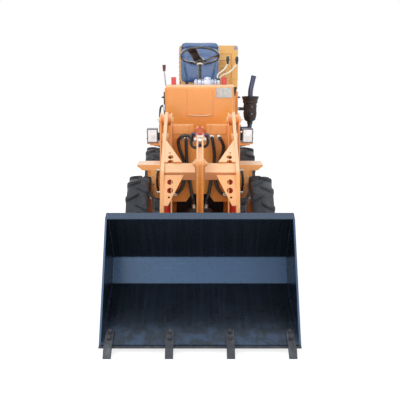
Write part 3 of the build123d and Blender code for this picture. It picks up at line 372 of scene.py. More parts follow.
def paintGroup():
    # sprayed paint: slow colour drift, dust on upward faces, a painted highlight that pales upward faces, bright worn
    # corners, fine orange peel
    group, n, given, out = makeGroup("sprayedPaint", {
        "Vector": None, "Paint": (1, 1, 1, 1), "Worn": (1, 1, 1, 1), "Dust": (0.5, 0.45, 0.38, 1), "Wear": 0.5,
        "Dustiness": 0.2, "Bleach": 0.0, "Gloss": 0.3, "Edge": 0.004,
    }, {"Color": "Color", "Roughness": "Float", "Height": "Float", "Normal": "Vector"})
    v = given["Vector"]
    drift, speck, peel = n.noise(v, 2.3, 2.0), n.noise(v, 46.0, 5.0, 0.65), n.noise(v, 420.0, 1.0)
    facing = n.add("NewGeometry").outputs["Normal"]
    bevel = n.add("Bevel", {"samples": 4}, Radius=given["Edge"]).outputs[0]
    near = n.add("VectorMath", {"operation": "DOT_PRODUCT"}, i0=bevel, i1=facing).outputs["Value"]
    corner = n.band(n.math("SUBTRACT", 1.0, near), 0.012, 0.13)
    chips = n.band(n.math("ADD", speck, n.math("MULTIPLY", corner, 0.16)), 0.60, 0.68)
    worn = n.math("MULTIPLY", n.math("MULTIPLY", corner, chips), given["Wear"], True)
    toned = n.tinted(given["Paint"], n.band(drift, 0.3, 0.7, 0.90, 1.06))
    toned = n.blend(n.math("MULTIPLY", corner, 0.28), toned, given["Worn"])
    up = n.add("SeparateXYZ", None, Vector=facing).outputs["Z"]
    # painted highlight: faces that look up blend toward the pale tone, as if lit from above
    toned = n.blend(n.math("MULTIPLY", n.band(up, 0.05, 0.95), given["Bleach"], True), toned, given["Worn"])
    settle = n.math("MULTIPLY", n.band(up, 0.2, 1.0, 0.25, 1.0), n.band(n.noise(v, 9.0, 4.0, 0.6), 0.35, 0.75))
    dusty = n.math("MULTIPLY", settle, given["Dustiness"], True)
    uneven = n.math("ADD", n.math("MULTIPLY", dusty, 0.5), n.math("MULTIPLY", n.band(speck, 0.4, 0.7), 0.07))
    n.feed(out["Color"], n.blend(dusty, n.blend(worn, toned, given["Worn"]), given["Dust"]))
    n.feed(out["Roughness"], n.math("ADD", given["Gloss"], uneven, True))
    n.feed(out["Height"], peel)
    n.feed(out["Normal"], bevel)
    return group


def grimeGroup():
    # rubber and bare metal: mottled tone, patches of dry dirt, and a fine grain
    group, n, given, out = makeGroup("workedSurface", {
        "Vector": None, "Base": (0.1, 0.1, 0.1, 1), "Dirt": (0.4, 0.36, 0.3, 1), "Amount": 0.3, "Scale": 20.0,
        "Grain": 300.0, "Rough": 0.6,
    }, {"Color": "Color", "Roughness": "Float", "Height": "Float"})
    v = given["Vector"]
    mottle = n.noise(v, given["Scale"], 5.0, 0.62)
    base = n.tinted(given["Base"], n.band(mottle, 0.3, 0.7, 0.78, 1.18))
    patch = n.band(n.noise(v, n.math("MULTIPLY", given["Scale"], 0.4), 6.0, 0.7), 0.45, 0.75)
    n.feed(out["Color"], n.blend(n.math("MULTIPLY", patch, given["Amount"], True), base, given["Dirt"]))
    n.feed(out["Roughness"], n.math("ADD", given["Rough"], n.band(mottle, 0.3, 0.7, -0.06, 0.1), True))
    n.feed(out["Height"], n.noise(v, given["Grain"], 2.0))
    return group


paintNodes, grimeNodes = paintGroup(), grimeGroup()


def colour(r, g, b):
    # an sRGB colour in 0..255, as linear light
    c = np.array([r, g, b]) / 255
    return tuple(np.where(c <= 0.04045, c / 12.92, ((c + 0.055) / 1.055) ** 2.4).tolist()) + (1.0,)


def startMaterial(name, metallic=0.0, coat=0.0, coatRough=0.1):
    material = bpy.data.materials.new(name)
    material.use_nodes = True
    n, shader = Board(material.node_tree), material.node_tree.nodes["Principled BSDF"]
    for label, value in (("Metallic", metallic), ("Coat Weight", coat), ("Coat Roughness", coatRough)):
        n.feed(shader.inputs[label], value)
    return material, n, shader, n.add("TexCoord").outputs["Object"]


def finishMaterial(n, shader, tone, rough, **bump):
    # colour, roughness and a bump go into the shader
    normal = n.add("Bump", None, **bump).outputs[0]
    for label, value in (("Base Color", tone), ("Roughness", rough), ("Normal", normal)):
        n.feed(shader.inputs[label], value)


def painted(name, paint, worn, gloss, wear, dust, dustTone=(176, 160, 138), bleach=0.0):
    material, n, shader, v = startMaterial(name, 0.0, 0.25, 0.16)
    made = n.add("Group", {"node_tree": paintNodes}, Vector=v, Paint=colour(*paint), Worn=colour(*worn),
                 Dust=colour(*dustTone), Wear=wear, Dustiness=dust, Gloss=gloss, Edge=0.004, Bleach=bleach).outputs
    finishMaterial(n, shader, made["Color"], made["Roughness"], Strength=0.5, Distance=0.00015, Height=made["Height"],
                   Normal=made["Normal"])
    return material


def worked(name, base, dirt, amount, scale, grain, rough, metallic=0.0, coat=0.0, depth=0.0004):
    material, n, shader, v = startMaterial(name, metallic, coat)
    made = n.add("Group", {"node_tree": grimeNodes}, Vector=v, Base=colour(*base), Dirt=colour(*dirt),
                 Amount=amount, Scale=scale, Grain=grain, Rough=rough).outputs
    finishMaterial(n, shader, made["Color"], made["Roughness"], Strength=0.6, Distance=depth, Height=made["Height"])
    return material


def bucketMaterial():
    # navy-black paint with upright run marks, a lighter worn band along the cutting edge and faint rubs
    material, n, shader, v = startMaterial("bucketPaint", 0.0, 0.12, 0.12)
    made = n.add("Group", {"node_tree": paintNodes}, Vector=v, Paint=colour(12, 15, 21), Worn=colour(84, 106, 138),
                 Dust=colour(44, 56, 72), Wear=0.5, Dustiness=0.08, Gloss=0.26, Edge=0.003).outputs
    spot = n.add("SeparateXYZ", None, Vector=v).outputs
    low = n.band(spot["Y"], -1.80, -1.60, 1.0, 0.0)
    runs = n.add("Mapping", None, Vector=v, Scale=(60.0, 2.0, 2.0)).outputs[0]
    streak = n.band(n.noise(runs, 1.0, 4.0, 0.6), 0.42, 0.72)
    rub = n.math("MULTIPLY", low, n.band(n.noise(v, 14.0, 5.0, 0.65), 0.4, 0.62))
    rub = n.math("ADD", n.math("MULTIPLY", streak, 0.1), n.math("MULTIPLY", rub, 0.75))
    scraped = n.math("MULTIPLY", rub, 0.8, True)
    # painted reflection: the sheet that looks up and forward, and the lip, get a streaked blue-grey tone standing in
    # for the sky's reflection
    up = n.add("SeparateXYZ", None, Vector=n.add("NewGeometry").outputs["Normal"]).outputs["Z"]
    bend = n.math("MULTIPLY", n.band(up, 0.36, 0.44), n.band(up, 0.60, 0.70, 1.0, 0.0))
    lip = n.math("MULTIPLY", n.band(up, 0.75, 0.9), n.band(spot["Z"], 0.68, 0.70, 0.0, 0.45))
    streakSpace = n.add("Mapping", None, Vector=v, Scale=(1.6, 14.0, 40.0)).outputs[0]
    reflectionStreaks = n.math("MULTIPLY", n.band(n.noise(streakSpace, 2.2, 4.0, 0.6), 0.62, 0.7, 1.0, 1.5), 0.62)
    paintedReflection = n.math("MULTIPLY", n.math("MAXIMUM", bend, lip), reflectionStreaks, True)
    toned = n.blend(paintedReflection, made["Color"], colour(76, 104, 140))
    rough = n.math("ADD", made["Roughness"], n.math("MULTIPLY", scraped, 0.25), True)
    n.feed(shader.inputs["Specular Tint"], (0.55, 0.75, 1.0, 1))
    finishMaterial(n, shader, n.blend(scraped, toned, colour(66, 86, 116)), rough, Strength=0.5, Distance=0.0003,
                   Height=made["Height"], Normal=made["Normal"])
    return material


def seatMaterial():
    # blue vinyl: a leather grain of small cells, a clear glossy coat and soft scuffs
    material, n, shader, v = startMaterial("seatVinyl", 0.0, 0.9, 0.08)
    made = n.add("Group", {"node_tree": grimeNodes}, Vector=v, Base=colour(68, 103, 152), Dirt=colour(120, 150, 190),
                 Amount=0.35, Scale=7.0, Grain=260.0, Rough=0.4).outputs
    cells = n.add("TexVoronoi", {"feature": "DISTANCE_TO_EDGE"}, Vector=v, Scale=420.0).outputs["Distance"]
    finishMaterial(n, shader, made["Color"], made["Roughness"], Strength=0.45, Distance=0.0006,
                   Height=n.band(cells, 0.0, 0.25))
    return material


def lensMaterial():
    # a clear fluted lens over a bright reflector: upright ribs from a sine of X
    material, n, shader, v = startMaterial("lampLens", 0.0, 1.0, 0.03)
    rib = n.math("SINE", n.math("MULTIPLY", n.add("SeparateXYZ", None, Vector=v).outputs["X"], 900.0))
    tone = n.blend(n.band(n.noise(v, 30.0, 2.0), 0.3, 0.7), colour(250, 251, 252), colour(228, 232, 236))
    # a faint emission makes the lens and bulbs brighter than the lights do: a painted glow on an unlit lamp
    n.feed(shader.inputs["Emission Color"], colour(240, 244, 248))
    n.feed(shader.inputs["Emission Strength"], 0.12)
    finishMaterial(n, shader, tone, 0.12, Strength=0.5, Distance=0.0012, Height=rib)
    return material


# paint, worn tone (also the painted highlight's tone), gloss, wear, dust, dust's tone, painted highlight on upward
# faces
paints = {
    "orange": ("orangePaint", (245, 160, 76), (255, 232, 196), 0.27, 0.35, 0.05, (236, 198, 150), 0.55),
    "orangeLow": ("orangeFrame", (242, 154, 66), (255, 226, 184), 0.34, 0.5, 0.1, (200, 166, 126), 0.4),
    # the fenders' paint is a lighter copy of the orange, painted brighter against the shade the arms cast on them
    "orangeFenderLit": ("fenderPaintLightened", (255, 184, 112), (255, 236, 206), 0.3, 0.35, 0.05, (240, 206, 164), 0.6),
    "amber": ("amberPaint", (246, 190, 104), (255, 230, 180), 0.34, 0.3, 0.1, (222, 196, 156)),
    "dark": ("darkFramePaint", (30, 32, 38), (110, 114, 122), 0.4, 0.5, 0.2, (90, 88, 86)),
    "column": ("columnPaint", (30, 36, 56), (120, 130, 150), 0.25, 0.3, 0.05),
    "red": ("cylinderRed", (196, 44, 40), (236, 150, 140), 0.3, 0.4, 0.1),
    "capRed": ("capPlasticRed", (214, 60, 58), (240, 150, 146), 0.38, 0.2, 0.05),
    "rim": ("rimPaint", (242, 156, 74), (255, 220, 172), 0.36, 0.5, 0.22, (170, 142, 110)),
    "lampGrey": ("lampFramePaint", (96, 98, 104), (170, 172, 176), 0.3, 0.4, 0.05),
    # dark brown for the door's rivets and handle, and on its seal a painted shadow line round the door
    "doorDark": ("doorTrimAndShadowBrown", (176, 116, 52), (220, 170, 110), 0.4, 0.3, 0.1),
    "cream": ("creamEnamel", (244, 236, 218), (255, 250, 240), 0.25, 0.2, 0.05),
    # pale cream: the frame pins' own paint, and a painted highlight on the cowl panel's lip
    "lip": ("creamPinAndLipHighlight", (255, 226, 186), (255, 240, 220), 0.24, 0.2, 0.04),
}
# base, dirt, amount of dirt, its scale, grain, roughness, metal, coat, depth of grain
surfaces = {
    "rubber": ("tyreRubber", (40, 46, 54), (104, 108, 112), 0.45, 16.0, 260.0, 0.62, 0.0, 0.0, 0.0008),
    "hose": ("hoseRubber", (22, 22, 24), (70, 68, 66), 0.25, 30.0, 700.0, 0.3, 0.0, 0.3),
    "plastic": ("wheelPlastic", (40, 30, 28), (90, 78, 72), 0.2, 18.0, 500.0, 0.26, 0.0, 0.7),
    "knob": ("knobPlastic", (14, 14, 16), (80, 78, 76), 0.15, 40.0, 600.0, 0.3, 0.0, 0.3),
    "knobRed": ("brakeKnobPlastic", (104, 30, 34), (140, 80, 78), 0.2, 40.0, 600.0, 0.3, 0.0, 0.3),
    "steel": ("bareSteel", (176, 176, 178), (112, 92, 74), 0.3, 22.0, 500.0, 0.34, 1.0),
    "edgeSteel": ("toothSteel", (58, 60, 68), (120, 124, 130), 0.5, 26.0, 260.0, 0.46, 0.35),
    "zinc": ("zincBolt", (196, 192, 182), (140, 128, 104), 0.25, 60.0, 700.0, 0.3, 1.0),
    "chrome": ("rodChrome", (226, 228, 232), (170, 168, 166), 0.1, 12.0, 900.0, 0.1, 1.0),
    "alloy": ("castAlloy", (202, 208, 226), (160, 164, 176), 0.3, 30.0, 420.0, 0.4, 0.7),
    "soot": ("sootedSteel", (44, 36, 34), (92, 66, 54), 0.45, 14.0, 320.0, 0.5, 0.3),
    "pipe": ("pipeSteel", (66, 72, 96), (120, 100, 96), 0.35, 18.0, 420.0, 0.32, 0.6),
    "plate": ("blankPlate", (184, 182, 178), (150, 148, 144), 0.2, 24.0, 600.0, 0.38, 0.5),
    # black sheets that stand in for shade behind the towers; their bluish patches are painted highlights
    "shadeSheet": ("paintedShadeBlack", (16, 18, 24), (58, 64, 80), 0.3, 9.0, 240.0, 0.4),
    # dark brown: painted shade behind the cabinet louvres, and the cooler core's own colour
    "well": ("louvreShadeAndCoreBrown", (72, 44, 24), (110, 78, 50), 0.3, 20.0, 300.0, 0.7),
    "cornerBlue": ("cornerPlateBlue", (150, 158, 190), (190, 194, 210), 0.4, 60.0, 500.0, 0.35, 0.0, 0.4),
    "seatDark": ("seatPiping", (44, 62, 96), (90, 108, 136), 0.2, 30.0, 500.0, 0.35, 0.0, 0.4),
    "capGrey": ("wheelCapPlastic", (120, 124, 132), (170, 172, 176), 0.2, 40.0, 500.0, 0.25, 0.0, 0.4),
    "reflector": ("redReflector", (176, 24, 22), (120, 30, 28), 0.2, 60.0, 240.0, 0.15, 0.0, 0.8),
}
materials = {key: painted(*row) for key, row in paints.items()}
materials |= {key: worked(*row) for key, row in surfaces.items()}
materials |= {"bucket": bucketMaterial(), "seat": seatMaterial(), "lens": lensMaterial()}

finishes = {
    "orange": "cowl arm_left arm_right cross_beam gussets bell_crank link crank_pin hood tower_plates front_box",
    "orangeFenderLit": "front_fenders",
    "amber": "cabinet cabinet_door",
    "orangeLow": "rear_axle rear_frame tub lower_body fuel_tank hydraulic_tank counterweight",
    # the front hinge is dark as painted shade behind the crank; the other parts here are dark paint
    "dark": "floor seat_frame engine front_axle front_hinge",
    "lampGrey": "headlamps",
    "rim": "rim_front_left rim_front_right rim_rear_left rim_rear_right",
    "bucket": "bucket_shell bucket_cheeks bucket_ears",
    "edgeSteel": "cutting_edge bucket_teeth",
    "steel": "bucket_pins link_pin pivot_pin",
    "lip": "frame_pins",
    "chrome": "tilt_rod lift_rods steer_rod",
    "red": "tilt_barrel steer_barrel lift_barrels",
    "column": "steering_column",
    "plastic": "steering_wheel",
    "soot": "muffler",
    "pipe": "exhaust_pipes",
    "lens": "lamp_lenses",
    "hose": "front_hoses",
    "alloy": "controls",
    "knob": "floor_controls",
}
for finish, names in finishes.items():
    for name in names.split():
        nodes[name].data.materials.clear()
        nodes[name].data.materials.append(materials[finish])
print("materials made:", len(materials))


def makeTyre(name, body):
    # carcass: a (width, radius) profile swept round X; tread bars: a curved strip laid along the same profile
    spec = {"sides": 120, "lugs": 14, "lugHeight": 0.021, "base": 0.040, "top": 0.026, "lean": 0.125, "reach": 0.052,
            "nuts": 6, "nutCircle": 0.094, "nutFace": 0.0445, "nutSize": 9.5, "nutTurn": 0.3}
    low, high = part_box(name)
    centre = np.array((low + high) / 2)
    half, outer = (high[0] - low[0]) / 2, (high[2] - low[2]) / 2
    tread, seat = outer - 0.023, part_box(name.replace("tyre", "rim"))[1][2] - centre[2] - 0.011
    hand = 1 if centre[0] > 0 else -1
    # half of the section from the middle of the tread to the bead, then mirrored
    section = np.array([(0.0, tread), (0.3, tread - 0.0005), (0.58, tread - 0.003), (0.8, tread - 0.009),
                        (0.92, tread - 0.02), (0.98, tread - 0.045), (0.985, tread - 0.075), (0.96, seat + 0.055),
                        (0.93, seat + 0.035), (0.90, seat + 0.018), (0.93, seat + 0.012), (0.90, seat + 0.004),
                        (0.82, seat - 0.001)])
    curve, _ = spline(np.column_stack([section[:, 0] * half, section[:, 1], np.zeros(len(section))]), 40)
    x, r = curve[:, 0], curve[:, 1]
    loop = np.concatenate([np.column_stack([-x[::-1], r[::-1]]), np.column_stack([x[1:], r[1:]]),
                           [(half * 0.6, seat + 0.004), (-half * 0.6, seat + 0.004)]])
    turn = np.linspace(0, tau, spec["sides"], endpoint=False)
    ring = np.stack([np.zeros_like(turn), -np.sin(turn), np.cos(turn)], -1)
    parts = [surface(centre + loop[None, :, :1] * xAxis + loop[None, :, 1:] * ring[:, None], wrapRows=True)]
    # bars: s runs from just past the middle to the side wall, with a shoulder at 0.85 of the half width
    run = np.concatenate([[0], np.cumsum(np.linalg.norm(np.diff(curve[:, :2], axis=0), axis=1))])
    s = np.linspace(-0.010, spec["reach"] + half * 0.96, 22)
    px, pr = np.interp(np.abs(s), run, x) * np.sign(s + 1e-9), np.interp(np.abs(s), run, r)
    tangent = unit(np.column_stack([np.gradient(px, s), np.gradient(pr, s)]))
    normal = np.column_stack([-tangent[:, 1], tangent[:, 0]])
    fade = 1 - np.clip((s - half * 0.92) / (spec["reach"] * 1.02), 0, 1) ** 1.6
    shoulder = 1 + 0.12 * np.exp(-(((s - half * 0.85) / 0.015) ** 2))
    height = spec["lugHeight"] * np.clip(fade, 0.02, 1) * shoulder
    # no bar leaves the solid tyre's outer radius or its width
    roof = np.minimum(pr + normal[:, 1] * height, outer - 0.0006) - pr
    height = np.where(normal[:, 1] > 0.3, roof / np.maximum(normal[:, 1], 0.3), height)
    wall = half - 0.0004
    height = np.where(px + normal[:, 0] * height > wall, (wall - px) / np.maximum(normal[:, 0], 0.2), height)
    across = np.array([-0.5, -0.5, -0.42, -0.3, 0, 0.3, 0.42, 0.5, 0.5])
    rise = np.array([-0.25, 0.0, 0.82, 1.0, 1.02, 1.0, 0.82, 0.0, -0.25])
    width = across * np.interp(rise, [0, 1], [spec["base"], spec["top"]])
    sweep = spec["lean"] * np.tanh(np.clip(s, -1, 1) / 0.075) * 0.95
    h = height[:, None] * rise[None, :]
    br = pr[:, None] + normal[:, 1:] * h
    bt = -sweep[:, None] + width[None] * (0.86 + 0.3 * np.clip(s / half, 0, 1))[:, None] / pr[:, None]
    for side in sides:
        bx = side * (px[:, None] + normal[:, :1] * h)
        for start in (np.arange(spec["lugs"]) + (0.5 if side < 0 else 0)) * tau / spec["lugs"]:
            angle = start + bt
            parts.append(surface(centre + np.stack([bx, br * np.sin(angle), br * np.cos(angle)], -1)))
    piece(name + "_tread", parts, "rubber", body, sharp=48, replaces=(name,))
    nuts = []
    for k in range(spec["nuts"]):
        angle = tau * k / spec["nuts"] + spec["nutTurn"]
        spot = [hand * spec["nutFace"], spec["nutCircle"] * math.sin(angle), spec["nutCircle"] * math.cos(angle)]
        nuts.append(hexBolt(centre + spot, hand * xAxis, spec["nutSize"]))
    piece(name.replace("tyre", "nuts"), nuts, "zinc", body)


bodies = frame["record"]["behaviour"]["bodies"]
for corner in ("front_left", "front_right", "rear_left", "rear_right"):
    makeTyre("tyre_" + corner, next(b for b, members in bodies.items() if "tyre_" + corner in members))
print("tyres made")


def coordinates(mesh):
    co = np.empty(len(mesh.vertices) * 3)
    mesh.vertices.foreach_get("co", co)
    return co.reshape(-1, 3)


def puffed(name, form, voxel, pressure, cap):
    # an even voxel skin swells under cloth pressure; each point moves by at most cap, then one subdivision
    scene, steps = bpy.context.scene, 20
    mesh = bpy.data.meshes.new(name + "Start")
    mesh.from_pydata(form[0].tolist(), [], form[1])
    start = bpy.data.objects.new(name + "Start", mesh)
    scene.collection.objects.link(start)

    def applied():
        return bpy.data.meshes.new_from_object(start.evaluated_get(bpy.context.evaluated_depsgraph_get()))

    remesh = start.modifiers.new("remesh", "REMESH")
    remesh.mode, remesh.voxel_size = "VOXEL", voxel
    even = applied()
    start.modifiers.clear()
    start.data = even
    points = coordinates(even)
    cloth = start.modifiers.new("cloth", "CLOTH")
    cloth.settings.use_pressure = True
    cloth.settings.uniform_pressure_force = pressure
    cloth.settings.effector_weights.gravity = 0
    cloth.collision_settings.use_collision = False
    cloth.point_cache.frame_start, cloth.point_cache.frame_end = 1, steps
    for step in range(1, steps + 1):
        scene.frame_set(step)
    move = coordinates(applied()) - points
    far = np.linalg.norm(move, axis=1, keepdims=True)
    points = points + move * np.minimum(1, cap / np.maximum(far, 1e-9))
    start.modifiers.clear()
    scene.frame_set(1)
    even.vertices.foreach_set("co", points.ravel())
    fine = start.modifiers.new("fine", "SUBSURF")
    fine.levels = fine.render_levels = 1
    result = applied()
    bpy.data.objects.remove(start)
    return result


def power(value, exponent):
    # keeps the sign: sign(v)*|v|^exponent
    return np.sign(value) * np.abs(value) ** exponent


def pillow(centre, facing, half, outline, edge, rows=40, cols=96):
    # a superellipsoid: x and y are signed powers of cos and sin of one angle, the thickness of the other
    u = np.linspace(0, tau, cols, endpoint=False)[None]
    v = np.linspace(-math.pi / 2, math.pi / 2, rows + 2)[1:-1, None]
    ring = power(np.cos(v), edge)
    shape = (ring * power(np.cos(u), outline), ring * power(np.sin(u), outline), power(np.sin(v), edge) + 0 * u)
    return surface(centre + sum(size * way[..., None] * axis for size, way, axis in zip(half, shape, facing)))


def sewn(mesh, centre, facing, seams, depth, width):
    # presses the front along seams given as (across, upward) curves, depth * exp(-(distance / width)^2);
    # returns the threads' paths
    across, upward, out = facing
    points = coordinates(mesh)
    local = np.stack([(points - centre) @ axis for axis in facing], -1)
    paths = []
    for seam in seams:
        line, _ = spline([(a, b, 0) for a, b in seam], 90)
        gap = np.full(len(points), 9.0)
        for k in range(0, len(line), 15):
            block = line[k:k + 15, :2]
            gap = np.minimum(gap, np.min(np.linalg.norm(local[:, None, :2] - block[None], axis=-1), axis=1))
        press = depth * np.exp(-((gap / width) ** 2)) * (local[:, 2] > 0)
        points = points - press[:, None] * out
        local[:, 2] -= press
        face = np.where(local[:, 2] > 0)[0]
        near = face[np.argmin(np.linalg.norm(local[face][None, :, :2] - line[:, None, :2], axis=-1), axis=1)]
        level = np.convolve(np.pad(local[near, 2], 3, mode="edge"), np.ones(7) / 7, mode="valid")
        paths.append(centre + line[:, :1] * across + line[:, 1:2] * upward + level[:, None] * out)
    mesh.vertices.foreach_set("co", points.ravel())
    return paths


def makeSeat():
    # two puffed and sewn pads with piping in their seams
    lean = math.atan2(15, 430)
    backUp, backOut = np.array([0, math.sin(lean), math.cos(lean)]), np.array([0, -math.cos(lean), math.sin(lean)])

    def mirrored(seam):
        return [[(side * a, b) for a, b in seam] for side in sides]

    specs = {
        "seatBackPad": {
            "node": "seat_back", "centre": place(-3, 2843, 1655), "facing": (xAxis, backUp, backOut),
            "half": (0.204, 0.207, 0.031), "voxel": 0.0055, "depth": 0.012,
            "seams": [[(-0.19, 0.142), (-0.1, 0.148), (0.1, 0.148), (0.19, 0.142)]]
            + mirrored([(0.172, 0.14), (0.166, 0.03), (0.145, -0.09), (0.118, -0.188)]),
        },
        "seatPad": {
            "node": "seat_cushion", "centre": place(0, 2666, 1379), "facing": (xAxis, yAxis, zAxis),
            "half": (0.196, 0.188, 0.040), "voxel": 0.006, "depth": 0.010,
            "seams": mirrored([(0.118, -0.175), (0.14, -0.06), (0.142, 0.06), (0.12, 0.175)])
            + [[(-0.13, -0.07), (0, -0.075), (0.13, -0.07)], [(-0.136, 0.04), (0, 0.036), (0.136, 0.04)]],
        },
    }
    for name, spec in specs.items():
        centre, facing = spec["centre"], spec["facing"]
        mesh = puffed(name, pillow(centre, facing, spec["half"], 0.27, 0.42), spec["voxel"], pressure=4, cap=0.012)
        threads = sewn(mesh, centre, facing, spec["seams"], spec["depth"], width=0.010)
        low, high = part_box(spec["node"])
        points = np.clip(coordinates(mesh), np.array(low) - (0.008, 0.006, 0), np.array(high) + (0.008, 0.006, 0.004))
        mesh.vertices.foreach_set("co", points.ravel())
        pad = adopt(name, mesh, "seat", "rear_frame", replaces=(spec["node"],))
        cords = [tube(path[3:-3] - 0.001 * facing[2], 3.2, 8, facing[2]) for path in threads]
        piece(name + "Piping", cords, "seatDark", "rear_frame", sharp=60)
    # the sliding rails under the cushion and the hinge cheeks at the back's foot
    brackets = [slab(place(side * 150, 2665, 1331), facingSide(side), 300, 20, 8, 3, 1) for side in (1, -1)]
    for side in sides:
        brackets.append(slab(place(side * 198, 2860, 1412), facingSide(side), 50, 130, 6, 20, 1.5))
        brackets += [hexBolt(place(side * 204, 2862, z), side * xAxis, size) for z, size in ((1382, 8), (1446, 6))]
    piece("seatBrackets", brackets, "dark", "rear_frame")


makeSeat()
print("seat made")


def makeWheel():
    # rim: a torus about the column, its section swelling by 1 + 0.045*cos(24*turn) on the inside;
    # each spoke: a flat bar lofted from hub to rim, dished by smoothstep
    spec = {"place": (0, 2320, 1718), "tilt": 24, "radius": 0.1765, "grip": 0.0095, "drop": 0.050, "thick": 0.006,
            "spokes": ((240, 1.0), (0, 0.45), (120, 0.45)), "hubWide": 0.092, "waist": 0.082, "rimWide": 0.094}
    centre, tilt, radius = place(*spec["place"]), math.radians(spec["tilt"]), spec["radius"]
    up = np.array([0, math.sin(tilt), math.cos(tilt)])
    y = np.cross(up, xAxis)
    turn, ringTurn = np.linspace(0, tau, 96, endpoint=False), np.linspace(0, tau, 16, endpoint=False)
    radial = np.cos(turn)[:, None] * xAxis + np.sin(turn)[:, None] * y
    grips = 1 + 0.045 * np.cos(turn * 24)[:, None] * (np.cos(ringTurn)[None] < 0.2)
    section = spec["grip"] * grips[..., None]
    reach = radius + section * np.cos(ringTurn)[None, :, None]
    rise = section * np.sin(ringTurn)[None, :, None]
    parts = [surface(centre + radial[:, None] * reach + rise * up, wrapRows=True)]
    run = np.linspace(0.02, radius - 0.004, 24)
    ease = np.clip((run - 0.03) / 0.13, 0, 1)
    level = -spec["drop"] * (1 - ease * ease * (3 - 2 * ease))
    wide = np.interp(run, [0.02, 0.08, radius], [spec["hubWide"], spec["waist"], spec["rimWide"]]) / 2
    corner = np.linspace(0, tau, 20, endpoint=False)
    cross, rise = power(np.cos(corner), 0.35), power(np.sin(corner), 0.6) * spec["thick"]
    for angle, broad in spec["spokes"]:
        a = math.radians(angle)
        along, side = math.cos(a) * xAxis + math.sin(a) * y, -math.sin(a) * xAxis + math.cos(a) * y
        bar = centre + run[:, None, None] * along + (broad * wide[:, None] * cross)[..., None] * side
        parts.append(surface(bar + (level[:, None] + rise[None])[..., None] * up))
    hub = [(12, -68), (32, -67), (36, -62), (39, -52), (39, -40), (35, -30), (29, -26)]
    parts.append(turned(hub, centre, up, 48))
    piece("wheelRim", parts, "plastic", "steering_wheel", sharp=50, replaces=("steering_wheel",))
    cap = [(27, -32), (26, -28.5), (22, -25), (14, -23), (2, -22.5)]
    piece("wheelCap", [turned(cap, centre, up, 40)], "capGrey", "steering_wheel")
    collar = [(20, -90), (28.5, -90), (29.5, -87), (29.5, -77), (27, -74), (20, -74)]
    piece("columnCollar", [turned(collar, centre, up, 40)], "cream", "rear_frame")


makeWheel()
print("steering wheel made")


